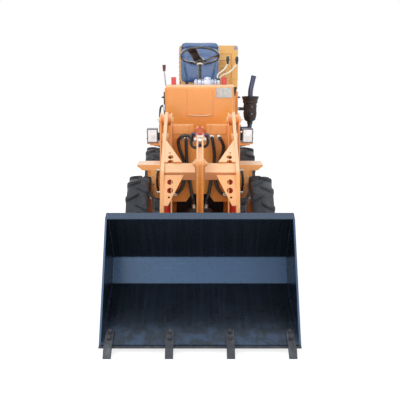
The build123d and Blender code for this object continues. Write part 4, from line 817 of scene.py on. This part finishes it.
def makeControls():
    # the valve block with its levers and reservoirs, the hand brake and the pedals
    spec = {
        "sections": [(-52, -22), (-20, 12), (14, 34), (96, 120), (122, 146), (148, 175)],
        "bolts": ((-37, 2005), (-4, 2035), (24, 2005), (108, 2035), (134, 2006)), "ports": (-37, -4, 24, 108, 134, 161),
        "levers": [[(150, 2034, 1500), (153, 2036, 1530), (160, 2039, 1562), (200, 2045, 1592), (232, 2049, 1628),
                    (243, 2050, 1662)],
                   [(166, 2006, 1500), (172, 2008, 1524), (196, 2012, 1552), (262, 2019, 1584), (304, 2024, 1626),
                    (322, 2026, 1660)]],
        "knob": [(6, -14), (10, -13), (10.5, 4), (13, 16), (14.8, 30), (13.5, 44), (9, 51), (2, 53)],
        "boot": [(14, 0), (14.5, 4), (11, 7), (12, 10), (9, 13), (10, 16), (6, 20), (5.5, 24)],
        "dome": [(30, 0), (30, 6), (26.5, 9), (26, 15), (21, 22), (12, 27), (2, 27.5)],
        "brake": [(-302, 2155, 975), (-303, 2148, 1180), (-304, 2141, 1400), (-312, 2133, 1500), (-320, 2126, 1590)],
        "brakeKnob": [(8.5, 0), (11.5, 2), (13, 20), (15.5, 44), (16.2, 51), (13, 56), (3, 57)],
        "reservoirs": ((-252, -208), (190, 234)), "pedals": (116, 209), "pedalSlope": (0, 62, -56),
    }
    cast = [boxy(x, (1990, 2050), (1475, 1507 + (k % 2) * 5), 5, 3) for k, x in enumerate(spec["sections"])]
    cast.append(boxy((34, 96), (1988, 2052), (1475, 1513), 6, 3))
    cast.append(turned(spec["dome"], place(65, 2020, 1512.5), zAxis, 36))
    cast += [hexBolt(place(x, station, 1510), zAxis, 9.5) for x, station in spec["bolts"]]
    port = [(9, 0), (9, 8), (6.5, 10), (6.5, 16), (3, 17)]
    cast += [turned(port, place(x, 1990, 1492), -yAxis, 16) for x in spec["ports"]]
    piece("valveBlock", cast, "alloy", "rear_frame", replaces=("controls",))
    paths = [route(lever, 60) for lever in spec["levers"]]
    rods = [tube(path, 6, 12, (0.3, 1, 0.1)) for path in paths]
    knobs = [turned(spec["knob"], path[-1], zAxis, 28) for path in paths]
    boots = [turned(spec["boot"], path[0] + 0.006 * zAxis, zAxis, 24) for path in paths]
    piece("leverRods", rods, "cream", "rear_frame")
    piece("leverKnobs", knobs, "knob", "rear_frame")
    piece("leverBoots", boots, "hose", "rear_frame")
    caps = []
    for low, high in spec["reservoirs"]:
        caps.append(boxy((low + 1, high - 1), (1981, 2023), (1475, 1531), 8, 2))
        caps.append(boxy((low, high), (1980, 2024), (1524, 1537), 9, 3))
    piece("reservoirCaps", caps, "capRed", "rear_frame")
    brake = [tube(route(spec["brake"], 70), 6, 12, xAxis), boxy((-322, -282), (2130, 2180), (950, 982), 6, 3),
             hexBolt(place(-322, 2155, 968), -xAxis, 7),
             turned([(11, 0), (11, 10), (8, 13)], place(-302, 2155, 981), zAxis, 20)]
    piece("brakeLever", brake, "steel", "rear_frame", replaces=("floor_controls",))
    grip = [turned(spec["brakeKnob"], place(-320, 2126, 1585), zAxis, 28)]
    piece("brakeKnob", grip, "knobRed", "rear_frame")
    pads, stems = [], []
    down = unit(np.array(spec["pedalSlope"], float))
    for x in spec["pedals"]:
        centre = place(x, 2150, 1034)
        pads.append(slab(centre, (xAxis, -down), 62, 83, 10, 10, 2))
        for k in range(5):
            row = centre + (k - 2) * 0.0145 * down + 0.0095 * np.cross(xAxis, -down)
            pads.append(tube(row + np.linspace(-0.026, 0.026, 12)[:, None] * xAxis, 2.2, 8))
        stems.append(tube(route([(x, 2156, 1030), (x, 2155, 1000), (x, 2148, 970), (x, 2145, 951)], 24), 7, 12, xAxis))
    piece("pedalPads", pads, "hose", "rear_frame")
    piece("pedalStems", stems, "dark", "rear_frame")


makeControls()
print("controls made")


def makeCowlTrim():
    # a blank riveted plate, the latch, the raised panel's lip, a return hose and the front panel's bands
    spec = {"plate": (206, 1849.7, 1410.5), "rivetReach": (61, 37.5), "latch": (289, 1874, 1422), "lipHalf": 0.104,
            "lipTop": 1.2265, "lipSag": 0.0075, "lipStation": 1838.5, "bands": (-151, 147)}
    x, station, z = spec["plate"]
    plate = slab(place(x, station, z), facingFront, 134, 87, 2.2, 4, 0.8)
    rivets = [turned([(4, 0), (3.6, 1.2), (2.2, 2.1), (0.6, 2.5)],
                     place(x + a * spec["rivetReach"][0], station - 2.1, z + b * spec["rivetReach"][1]), -yAxis, 14)
              for a in sides for b in sides]
    piece("blankPlate", [plate], "plate", "rear_frame")
    piece("plateRivets", rivets, "zinc", "rear_frame")
    # the latch narrows downwards
    spot = place(*spec["latch"])
    latch, latchFaces = slab(spot, facingSide(1), 46, 76, 27, 8, 3)
    share = np.clip((latch[:, 2] - spot[2] + 0.038) / 0.076, 0, 1)
    latch[:, 1] = spot[1] + (latch[:, 1] - spot[1]) * (0.55 + 0.45 * share)
    latch[:, 0] = spot[0] + (latch[:, 0] - spot[0]) * (0.5 + 0.5 * share)
    strip = slab(place(-303, 1890, 1320), facingRight, 20, 194, 10, 5, 3)
    piece("cowlLatch", [(latch, latchFaces), strip], "knob", "rear_frame")
    # the lip sags as a parabola and thins towards its ends
    x = np.linspace(-spec["lipHalf"], spec["lipHalf"], 60)
    sag = spec["lipTop"] - spec["lipSag"] * (1 - (x / spec["lipHalf"]) ** 2)
    lip = np.stack([x, np.full_like(x, place(0, spec["lipStation"], 0)[1]), sag], -1)
    thick = 4.6 * np.sqrt(np.clip(1 - (x / (spec["lipHalf"] + 0.002)) ** 4, 0.02, 1))
    # the lip's pale cream is a painted highlight under the raised panel
    piece("panelLip", [tube(lip, thick, 12)], "lip", "rear_frame")
    hose = route([(-304, 1884, 1296), (-322, 1882, 1300), (-340, 1880, 1284), (-347, 1879, 1230), (-346, 1880, 1160),
                  (-334, 1883, 1096), (-318, 1886, 1062), (-304, 1888, 1052)], 90)
    piece("cowlHose", [tube(hose, 8.5, 16, yAxis)], "hose", "rear_frame")
    fitting = [(10, 0), (12.5, 1), (12.5, 12), (10.5, 13), (10.5, 26), (8.5, 28)]
    ends = [turned(fitting, place(-302.5, 1884, 1296), (-1, 0, 0.05), 6),
            turned(fitting, place(-302.5, 1888, 1052), (-1, 0, 0.1), 6),
            slab(place(-303, 1878, 1282), facingRight, 26, 58, 16, 4, 2)]
    piece("cowlFittings", ends, "alloy", "rear_frame")
    bands = [slab(place(x, 1430, 1146), facingFront, 128, 74, 4, 3, 1.5) for x in spec["bands"]]
    piece("panelBands", bands, "orange", "front_frame")


makeCowlTrim()
print("cowl trim made")


def makeHoses():
    # round hoses along splines through the same points as the solid hoses; on the lower runs a wound guard,
    # radius + guard*(0.35 + 0.65*clip(2*cos(turn - 2*pi*s/pitch)))
    spec = {"radius": 13, "sideRadius": 9, "guard": 2.2, "pitch": 0.013, "panelFace": 1429.7, "towerSide": 219.7,
            "outerSide": 315.3, "guarded": (0.60, 0.80)}
    low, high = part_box("front_axle")
    axle = ((low[1] + high[1]) / 2 + midStation) * 1000
    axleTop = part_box("front_hoses")[0][2] * 1000
    panel, tower, outer = spec["panelFace"], spec["towerSide"], spec["outerSide"]
    runs = [
        [(-60, panel, 1066), (-60, 1402, 1066), (-68, 1396, 1090), (-104, 1396, 1104), (-142, 1398, 1098),
         (-172, 1402, 1056), (-160, 1404, 990), (-130, 1406, 900), (-122, 1406, 800), (-138, 1404, 705),
         (-172, 1403, 645), (-200, 1404, 628), (-tower, 1404, 628)],
        [(-111, panel, 1080), (-111, 1402, 1080), (-110, 1398, 1035), (-107, 1400, 950), (-101, 1402, 860),
         (-84, 1404, 745), (-70, 1405, 650), (-60, 1412, 603), (-51, axle, 562), (-51, axle, axleTop)],
        [(95, panel, 1090), (95, 1402, 1090), (104, 1398, 1040), (114, 1400, 950), (109, 1402, 860),
         (88, 1404, 750), (73, 1405, 650), (60, 1412, 603), (51, axle, 562), (51, axle, axleTop)],
        [(152, panel, 1090), (152, 1402, 1090), (176, 1398, 1050), (186, 1400, 1000), (166, 1402, 920),
         (138, 1404, 830), (127, 1404, 740), (146, 1404, 672), (176, 1403, 636), (202, 1404, 627),
         (tower, 1404, 627)],
    ]
    short = [(outer, 1432, 820), (334, 1432, 820), (345, 1430, 775), (347, 1429, 705), (336, 1431, 642),
             (outer, 1431, 642)]
    runs += [[(side * x, station, z) for x, station, z in short] for side in (1, -1)]
    tubes, guards, ends = [], [], []
    for k, points in enumerate(runs):
        path, radius = route(points, 180), spec["radius"] if k < 4 else spec["sideRadius"]
        tubes.append(tube(path, radius, 18, (0, -1, 0.02)))
        ends += [hoseEnd(path, radius), hoseEnd(path[::-1], radius)]
        if k < 4:
            part = path[(path[:, 2] > spec["guarded"][0]) & (path[:, 2] < spec["guarded"][1])]
            fine, length = spline(part[::6], 220)
            s = np.linspace(0, length, len(fine))[:, None]
            turn = np.linspace(0, tau, 18, endpoint=False)[None]
            wave = np.clip(np.cos(turn - tau * s / spec["pitch"]) * 2, -0.4, 1)
            guards.append(tube(fine, radius + spec["guard"] * (0.35 + 0.65 * wave), 18, (0, -1, 0.02)))
    piece("hoseRuns", tubes, "hose", "front_frame", replaces=("front_hoses",))
    piece("hoseGuards", guards, "hose", "front_frame", sharp=70)
    piece("hoseEnds", ends, "zinc", "front_frame")


makeHoses()
print("hoses made")


def makePins():
    # keeper plates, nipples and domed ends on the pins; (station, height) as in the solids
    spec = {"towers": ((1480, 1220), (1285, 420)), "crank": (790, 990), "crankHead": (920, 1140), "bucket": (720, 380)}
    keepers, bolts, ends = [], [], []
    for station, z in spec["towers"]:
        for side in sides:
            out = side * xAxis
            keepers.append(slab(place(side * 315.2, station + 40, z), facingSide(side), 60, 26, 6, 8, 1.5))
            bolts.append(hexBolt(place(side * 321, station + 58, z), out, 8.5))
            ends.append(pinEnd(place(side * 323, station, z), out, 16, 0.5))
            bolts.append(nipple(place(side * 329.6, station, z), out))
    piece("towerKeepers", keepers, "orange", "front_frame")
    piece("towerPinEnds", ends, "lip", "front_frame")
    piece("towerBolts", bolts, "zinc", "front_frame")
    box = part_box("crank_pin")
    ends = [pinEnd(place(1000 * end[0], *spec["crank"]), side * xAxis, 13) for end, side in zip(box, sides)]
    piece("crankPinEnds", ends, "orange", "arms")
    low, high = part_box("link_pin")
    middle = np.array((low + high) / 2)
    spots = [middle + side * (high[0] - middle[0]) * xAxis for side in sides]
    ends = [pinEnd(spot, side * xAxis, 14) for spot, side in zip(spots, sides)]
    ends += [nipple(spot + side * 0.013 * xAxis, side * xAxis) for spot, side in zip(spots, sides)]
    ends.append(hexBolt(place(0, 826, 566), (0, -1, 0.15), 9))
    piece("linkPinEnds", ends, "zinc", "bell_crank")
    # the pin through the crank's head, with collars and a cross bolt
    top = place(0, *spec["crankHead"])
    head = [turned([(13, -33), (15, -31), (15, 31), (13, 33)], top, xAxis, 28)]
    head += [pinEnd(top + side * 0.030 * xAxis, side * xAxis, 13) for side in (1, -1)]
    head.append(hexBolt(place(0, 893, 1158), (0, -0.75, 0.65), 8))
    piece("crankHeadPin", head, "zinc", "bell_crank")
    reach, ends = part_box("bucket_pins")[1][0] * 1000, []
    for side in sides:
        ends.append(pinEnd(place(side * reach, *spec["bucket"]), side * xAxis, 16))
        ends.append(nipple(place(side * (reach + 13), *spec["bucket"]), side * xAxis))
    piece("bucketPinEnds", ends, "zinc", "bucket")


makePins()
print("pins and keepers made")


def makeShadeSheets():
    # painted shade: thin dark sheets that close the towers and the box from behind, where only shade shows; the middle
    # one hides the centre joint
    spec = {"station": 1701, "thick": 3, "tower": (230, 301, 372, 886), "middle": (203, 372, 640)}
    stations = (spec["station"], spec["station"] + spec["thick"])
    inner, outer, low, high = spec["tower"]
    half, bottom, top = spec["middle"]
    plan = (((inner, outer), (low, high)), ((-outer, -inner), (low, high)), ((-half, half), (bottom, top)))
    sheets = [boxy(x, stations, z, 1, 0.4) for x, z in plan]
    piece("towerShadeSheets", sheets, "shadeSheet", "front_frame")


makeShadeSheets()
print("shields made")


def makeCylinderTrim():
    # gland nut, wiper and hose elbows on the tilt cylinder; glands and ports on the lift cylinders
    spec = {
        "tilt": ((0, 1620, 1120), (0, 920, 1140)), "tiltMouth": 0.110,
        "tiltGland": [(20, -30), (37.2, -29), (37.8, -22), (36.5, -18), (37.8, -14), (37.8, -4), (35.5, 0.8),
                      (27.5, 1.2), (26, 3.5), (18.5, 3.8)],
        "tiltWiper": [(17.5, 3), (23.5, 3), (23.5, 6), (20.5, 8.5), (17.5, 9)],
        "elbowRadius": 10.5,
        "elbows": [[(-31, 1104, 1146), (-47, 1100, 1150), (-62, 1096, 1136), (-66, 1096, 1100), (-58, 1098, 1068),
                    (-38, 1102, 1054), (-14, 1106, 1062), (-9, 1108, 1094)],
                   [(31, 1116, 1142), (46, 1112, 1143), (58, 1110, 1126), (60, 1110, 1098), (52, 1112, 1072),
                    (34, 1114, 1060), (14, 1117, 1066), (9, 1118, 1094)]],
        "lift": ((265, 1285, 420), (265, 1300, 975)), "liftMouth": 0.062, "liftPorts": (0.075, 0.115),
        "liftGland": [(18, -28), (33.5, -27), (33.8, -18), (32, -14), (33.8, -10), (33.8, -2), (31, 1), (24, 1.2),
                      (22.5, 4), (17.2, 4.2)],
        "liftPort": [(12, -4), (12, 10), (8.5, 10.5), (8.5, 18), (4, 18.5)],
    }

    def slots(turn, along):
        # six shallow spanner slots
        return np.where((along > -13) & (along < -3), 1 - 0.05 * (np.cos(turn * 6) > 0.7)[None], 1.0)

    base, eye = (place(*point) for point in spec["tilt"])
    mouth = eye - unit(eye - base) * spec["tiltMouth"]
    gland = turned(spec["tiltGland"], mouth, eye - base, 60, slots)
    piece("tiltGland", [gland], "red", "tilt_barrel")
    piece("tiltWiper", [turned(spec["tiltWiper"], mouth, eye - base, 40)], "hose", "tilt_barrel")
    paths, radius = [route(points, 80) for points in spec["elbows"]], spec["elbowRadius"]
    piece("tiltHoses", [tube(path, radius, 16, yAxis) for path in paths], "hose", "tilt_barrel")
    ports = [hoseEnd(end, radius) for path in paths for end in (path, path[::-1])]
    piece("tiltPorts", ports, "pipe", "tilt_barrel")
    glands, ports = [], []
    for side in sides:
        lower, upper = (place(side * x, station, z) for x, station, z in spec["lift"])
        up = unit(upper - lower)
        glands.append(turned(spec["liftGland"], upper - up * spec["liftMouth"], up, 48))
        for spot in (lower + up * spec["liftPorts"][0], upper - up * spec["liftPorts"][1]):
            ports.append(turned(spec["liftPort"], spot + 0.027 * yAxis, yAxis, 6))
    piece("liftGlands", glands, "red", "lift_barrels")
    piece("liftPorts", ports, "zinc", "lift_barrels")


makeCylinderTrim()
print("cylinder trim made")


def makeLamps():
    # a crowned glass and a bulb in each lamp, and the brackets that carry it
    spec = {"reach": 382, "station": 1463.5, "height": 1094, "glass": (72, 100, 3), "crown": 1.2,
            "bulb": [(4, 0), (16, 1), (17, 4), (11, 5.2), (1, 5.5)], "stud": [(6, 0), (6, 4), (3, 6)],
            "brackets": (((313, 402), (1477, 1513), (1014, 1039)), ((337, 427), (1472, 1518), (1026, 1036)))}
    glasses, bulbs, brackets, mounts = [], [], [], []
    for side in sides:
        reach = side * spec["reach"]
        centre = place(reach, spec["station"], spec["height"])
        glasses.append(slab(centre + 0.0035 * yAxis, facingFront, *spec["glass"], 7, 1.2, spec["crown"]))
        bulbs.append(turned(spec["bulb"], centre + 0.002 * yAxis, -yAxis, 24))
        brackets += [boxy(sorted((side * inner, side * outer)), stations, heights, 6, 2)
                     for (inner, outer), stations, heights in spec["brackets"]]
        mounts.append(slab(place(side * 315, 1505, 1085), facingSide(side), 34, 60, 25, 8, 3))
        mounts.append(hexBolt(place(reach, 1495, 1026), -zAxis, 9))
        mounts += [turned(spec["stud"], place(side * 424, 1494, z), side * xAxis, 16) for z in (1068, 1120)]
    piece("lampGlass", glasses, "lens", "front_frame", replaces=("lamp_lenses",))
    piece("lampBulbs", bulbs, "lens", "front_frame")
    piece("lampBrackets", brackets, "orange", "front_frame")
    piece("lampMounts", mounts, "knob", "front_frame")


makeLamps()
print("lamps made")


def makeCabinetTrim():
    # a dark sheet behind the louvres as painted shade, hinge rivets, a pull handle, the door's seal as a painted shadow
    # line, a corner plate and side vents
    spec = {"rivets": (1440, 1470, 1500, 1530, 1560, 1590, 1690, 1715),
            "handle": [(140, 3063, 1512), (140, 3046, 1506), (140, 3042, 1470), (140, 3046, 1434), (140, 3063, 1428)],
            "door": ((121, 1405), (121, 1744), (334, 1744), (334, 1405)), "vents": range(1480, 1744, 44)}
    # painted shade: a dark sheet just behind the louvre slots
    well = slab(place(209, 3078, 1625), facingFront, 136, 160, 3, 3, 1)
    piece("louvreShadeSheet", [well], "well", "cabinet_door")
    rivet = [(4.5, 0), (4, 1.5), (2, 2.5)]
    rivets = [turned(rivet, place(316, 3063.4, z), -yAxis, 12) for z in spec["rivets"]]
    rivets.append(tube(route(spec["handle"], 40), 4.5, 12, xAxis))
    piece("doorRivets", rivets, "doorDark", "cabinet_door")
    # the seal's dark brown paints the shadow line round the door's edge
    edge = [place(x, 3079.2, z) for x, z in spec["door"]]
    seal = [tube(np.linspace(edge[k], edge[(k + 1) % 4], 8), 2.4, 8, (0.3, -1, 0.2)) for k in range(4)]
    piece("doorSeal", seal, "doorDark", "rear_frame")
    plate = slab(place(376, 3079.8, 1806), facingFront, 34, 36, 2.2, 5, 0.8)
    piece("cornerPlate", [plate], "cornerBlue", "rear_frame")
    vents = [slab(place(x, 3280, z), facingSide(side), 240, 16, 7, 7, 4)
             for z in spec["vents"] for side, x in ((1, 400), (-1, -220))]
    piece("cabinetVents", vents, "amber", "rear_frame")


makeCabinetTrim()
print("cabinet trim made")


def makeMufflerTrim():
    # clamp bands with their bolts, a bracket to the hood and a rolled end on the tail pipe
    spec = {"ring": [(64, -8), (66.5, -7.8), (67.2, 0), (66.5, 7.8), (64, 8)], "bands": (1165, 1235),
            "roll": [(21.5, -12), (24.8, -11), (26.2, -6), (25.2, -1), (22.5, 0.5), (20.5, -2), (19, -12), (1, -13)],
            "tail": (532, 2660, 1530), "tailWay": (32, 20, 140)}
    bands, bolts = [], []
    for z in spec["bands"]:
        bands.append(turned(spec["ring"], place(500, 2640, z), zAxis, 56))
        bands.append(boxy((490, 510), (2560, 2578), (z - 8, z + 8), 2, 1))
        bolts.append(hexBolt(place(510, 2568, z), xAxis, 6))
    bands.append(boxy((378, 442), (2628, 2652), (1195, 1225), 4, 2))
    piece("mufflerBands", bands, "soot", "rear_frame")
    bolts.append(hexBolt(place(382, 2627.5, 1210), -yAxis, 6))
    piece("mufflerBolts", bolts, "zinc", "rear_frame")
    roll = turned(spec["roll"], place(*spec["tail"]), spec["tailWay"], 32)
    piece("tailRoll", [roll], "pipe", "rear_frame")


makeMufflerTrim()
print("muffler trim made")


def polar(degrees):
    # (Y, Z) parts of a direction this many degrees above level: (cos, sin)
    return np.array([math.cos(math.radians(degrees)), math.sin(math.radians(degrees))])


def makeBolts():
    # rows of bolts: teeth, fenders, floor, hood and counterweight
    spec = {"slope": 19.2, "edgeHeight": 0.042, "teeth": (-0.541, -0.180, 0.180, 0.541), "reaches": (0.035, 0.085),
            "lift": 0.032}
    c, s = polar(spec["slope"])
    along, up = np.array([0, c, s]), np.array([0, -s, c])
    edge = np.array([0, -midStation, spec["edgeHeight"]]) + up * spec["lift"]
    heads = [hexBolt(edge + x * xAxis + along * reach, up, 11) for x in spec["teeth"] for reach in spec["reaches"]]
    piece("toothBolts", heads, "edgeSteel", "bucket")
    front, rear = [], []
    for side in sides:
        front += [hexBolt(place(side * 382, 1454.5, z), -yAxis, 8) for z in (640, 700, 760)]
        rear += [hexBolt(place(side * 400, station, 950), zAxis, 7) for station in (2060, 2200, 2340, 2480, 2580)]
        rear += [hexBolt(place(side * 340, 3560, z), yAxis, 8) for z in (1010, 1130, 1250, 1350)]
    rear += [hexBolt(place(x, 3630, z), yAxis, 14) for x in (-420, -300, 300, 420) for z in (540, 880)]
    piece("fenderBolts", front, "zinc", "front_frame")
    piece("bodyBolts", rear, "zinc", "rear_frame")


makeBolts()


def makeWelds():
    # beads where plates meet: round the beam's ends, down the towers, and in the bucket's corners
    spec = {"beam": (0.2515, 930, 908), "beamHalf": 0.0425, "beamTurn": 40, "tower": (219.5, 1430, 620, 1170),
            "floor": ((19.2, 0.543), (60.0, 0.186), (114.4, 0.388)), "edgeHeight": 0.042, "floorStart": 0.165,
            "skin": 0.0085, "cheek": 0.5875, "bend": 0.586}
    end, station, z = spec["beam"]
    c, s = polar(spec["beamTurn"])
    half = spec["beamHalf"]
    corners = [place(0, station, z) + [0, a * c - b * s, a * s + b * c]
               for a, b in ((half, half), (-half, half), (-half, -half), (half, -half))]
    beads = [bead(corners[k] + side * end * xAxis, corners[(k + 1) % 4] + side * end * xAxis, (-side, 0.1, 0.1), 4.2)
             for side in sides for k in range(4)]
    piece("beamWelds", beads, "orange", "arms")
    x, station, low, high = spec["tower"]
    beads = [bead(place(side * x, station, low), place(side * x, station, high), (-side, -1, 0)) for side in sides]
    piece("towerWelds", beads, "orange", "front_frame")
    # the floor sheet's inside in the side view: each corner moves out along the sum of its two normals
    walk, ways, normals = [np.array([-midStation, spec["edgeHeight"]])], [], []
    for degrees, distance in spec["floor"]:
        ways.append(polar(degrees))
        normals.append(polar(degrees + 90))
        walk.append(walk[-1] + distance * ways[-1])
    skin = spec["skin"]
    inside = [walk[0] + spec["floorStart"] * ways[0] + normals[0] * skin]
    inside += [walk[k] + (normals[k - 1] + normals[k]) / (1 + normals[k - 1] @ normals[k]) * skin for k in (1, 2)]
    inside.append(walk[3] + normals[2] * skin)
    beads = [bead((side * spec["cheek"], *one), (side * spec["cheek"], *two), (-side, -0.5, 0.5), 4.5)
             for side in sides for one, two in zip(inside, inside[1:])]
    beads += [bead((-spec["bend"], y, z - 0.001), (spec["bend"], y, z - 0.001), (0, -0.6, 0.8), 2.6, 9.0)
              for y, z in inside[1:3]]
    piece("bucketWelds", beads, "bucket", "bucket")


makeWelds()
print("bolts and welds made")


def makeTread():
    # raised lozenges on the floor plate, turned one way and the other in a chequer; each is a ring
    # (long*cos, wide*sin) with a point above and one below
    spec = {"pitch": 0.038, "long": 0.0135, "wide": 0.0036, "height": 0.0014, "floor": 0.95, "count": 10,
            "start": 2125, "column": 2140, "pedals": 2200}
    low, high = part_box("floor")
    start, column, pedals = (place(0, spec[key], 0)[1] for key in ("start", "column", "pedals"))
    count, floor = spec["count"], spec["floor"]
    turn = np.linspace(0, tau, count, endpoint=False)
    ring = np.stack([spec["long"] * np.cos(turn), spec["wide"] * np.sin(turn)], -1)
    xs = np.arange(low[0] + 0.025, high[0] - 0.02, spec["pitch"])
    ys = np.arange(start, high[1] - 0.02, spec["pitch"])
    gx, gy = np.meshgrid(xs, ys, indexing="ij")
    odd = (np.arange(len(xs))[:, None] + np.arange(len(ys))[None]) % 2
    # none under the column, the hand brake or the pedals
    keep = ~((np.abs(gx) < 0.03) & (gy < column)) & ~((gx < -0.26) & (gy < pedals))
    keep &= ~((gx > 0.07) & (gx < 0.26) & (gy < pedals))
    gx, gy, odd = gx[keep], gy[keep], odd[keep]
    angle = np.where(odd == 0, math.pi / 4, -math.pi / 4)
    c, s = np.cos(angle)[:, None], np.sin(angle)[:, None]
    px = gx[:, None] + ring[None, :, 0] * c - ring[None, :, 1] * s
    py = gy[:, None] + ring[None, :, 0] * s + ring[None, :, 1] * c
    base = np.stack([px, py, np.full_like(px, floor - 0.0001)], -1)
    top = np.stack([gx, gy, np.full_like(gx, floor + spec["height"])], -1)[:, None]
    under = np.stack([gx, gy, np.full_like(gx, floor - 0.0005)], -1)[:, None]
    verts = np.concatenate([base, top, under], 1).reshape(-1, 3)
    k = np.arange(count)
    n = (k + 1) % count
    one = np.concatenate([np.stack([k, n, np.full(count, count)], -1), np.stack([n, k, np.full(count, count + 1)], -1)])
    faces = (one[None] + (count + 2) * np.arange(len(gx))[:, None, None]).reshape(-1, 3)
    mesh = bpy.data.meshes.new("floorTread")
    mesh.from_pydata(verts.tolist(), [], faces.tolist())
    adopt("floorTread", mesh, "dark", "rear_frame")


makeTread()
print("floor tread made")


def makeRear():
    # lights, handles, the tanks' caps and straps, and a cooler core behind the grille slots
    spec = {"grip": [(-80, 3560, 1348), (-80, 3590, 1350), (-60, 3598, 1350), (60, 3598, 1350), (80, 3590, 1350),
                     (80, 3560, 1348)],
            "sideGrip": [(0, 3110), (28, 3116), (32, 3150), (32, 3200), (28, 3234), (0, 3240)],
            "cap": [(26, 0), (26, 12), (31, 13), (32.5, 20), (31.5, 30), (24, 34), (1, 35)],
            "strap": [(326, 445), (420, 437), (500, 470), (503, 570), (500, 670), (470, 703), (326, 703)],
            "straps": (2310, 2530), "fins": range(965, 1340, 8)}
    cases, lenses = [], []
    for side in sides:
        centre = place(side * 318, 3560, 890)
        cases.append(slab(centre, facingRear, 84, 50, 16, 8, 3))
        lenses.append(slab(centre + 0.0155 * yAxis, facingRear, 74, 40, 5, 6, 2.5, 2))
    piece("rearLampCases", cases, "knob", "rear_frame")
    piece("rearLampLenses", lenses, "reflector", "rear_frame")
    handles = [tube(route(spec["grip"], 70), 6.5)]
    for side, x in ((-1, -380), (1, 400)):
        handles.append(tube(route([(x + side * out, station, 1290) for out, station in spec["sideGrip"]], 60), 6))
    piece("hoodHandles", handles, "knob", "rear_frame")

    def ribbed(turn, along):
        # sixteen ribs round the cap: 1 + 0.03*cos(16*turn)
        return np.where(along > 12.5, 1 + 0.03 * np.cos(turn * 16)[None], 1.0)

    caps = [turned(spec["cap"], place(side * 440, 2330, 699.5), zAxis, 64, ribbed) for side in sides]
    piece("tankCaps", caps, "knob", "rear_frame")
    core = [slab(place(0, 3512, 1150), facingRear, 560, 400, 10, 10, 3)]
    core += [tube(np.linspace(place(-262, 3524, z), place(262, 3524, z), 4), 2.2, 6) for z in spec["fins"]]
    piece("coolerCore", core, "well", "rear_frame")
    straps = [tube(route([(side * x, station, z) for x, z in spec["strap"]], 60), 4.5, 8, yAxis)
              for side in sides for station in spec["straps"]]
    piece("tankStraps", straps, "dark", "rear_frame")


makeRear()
print("rear details made")
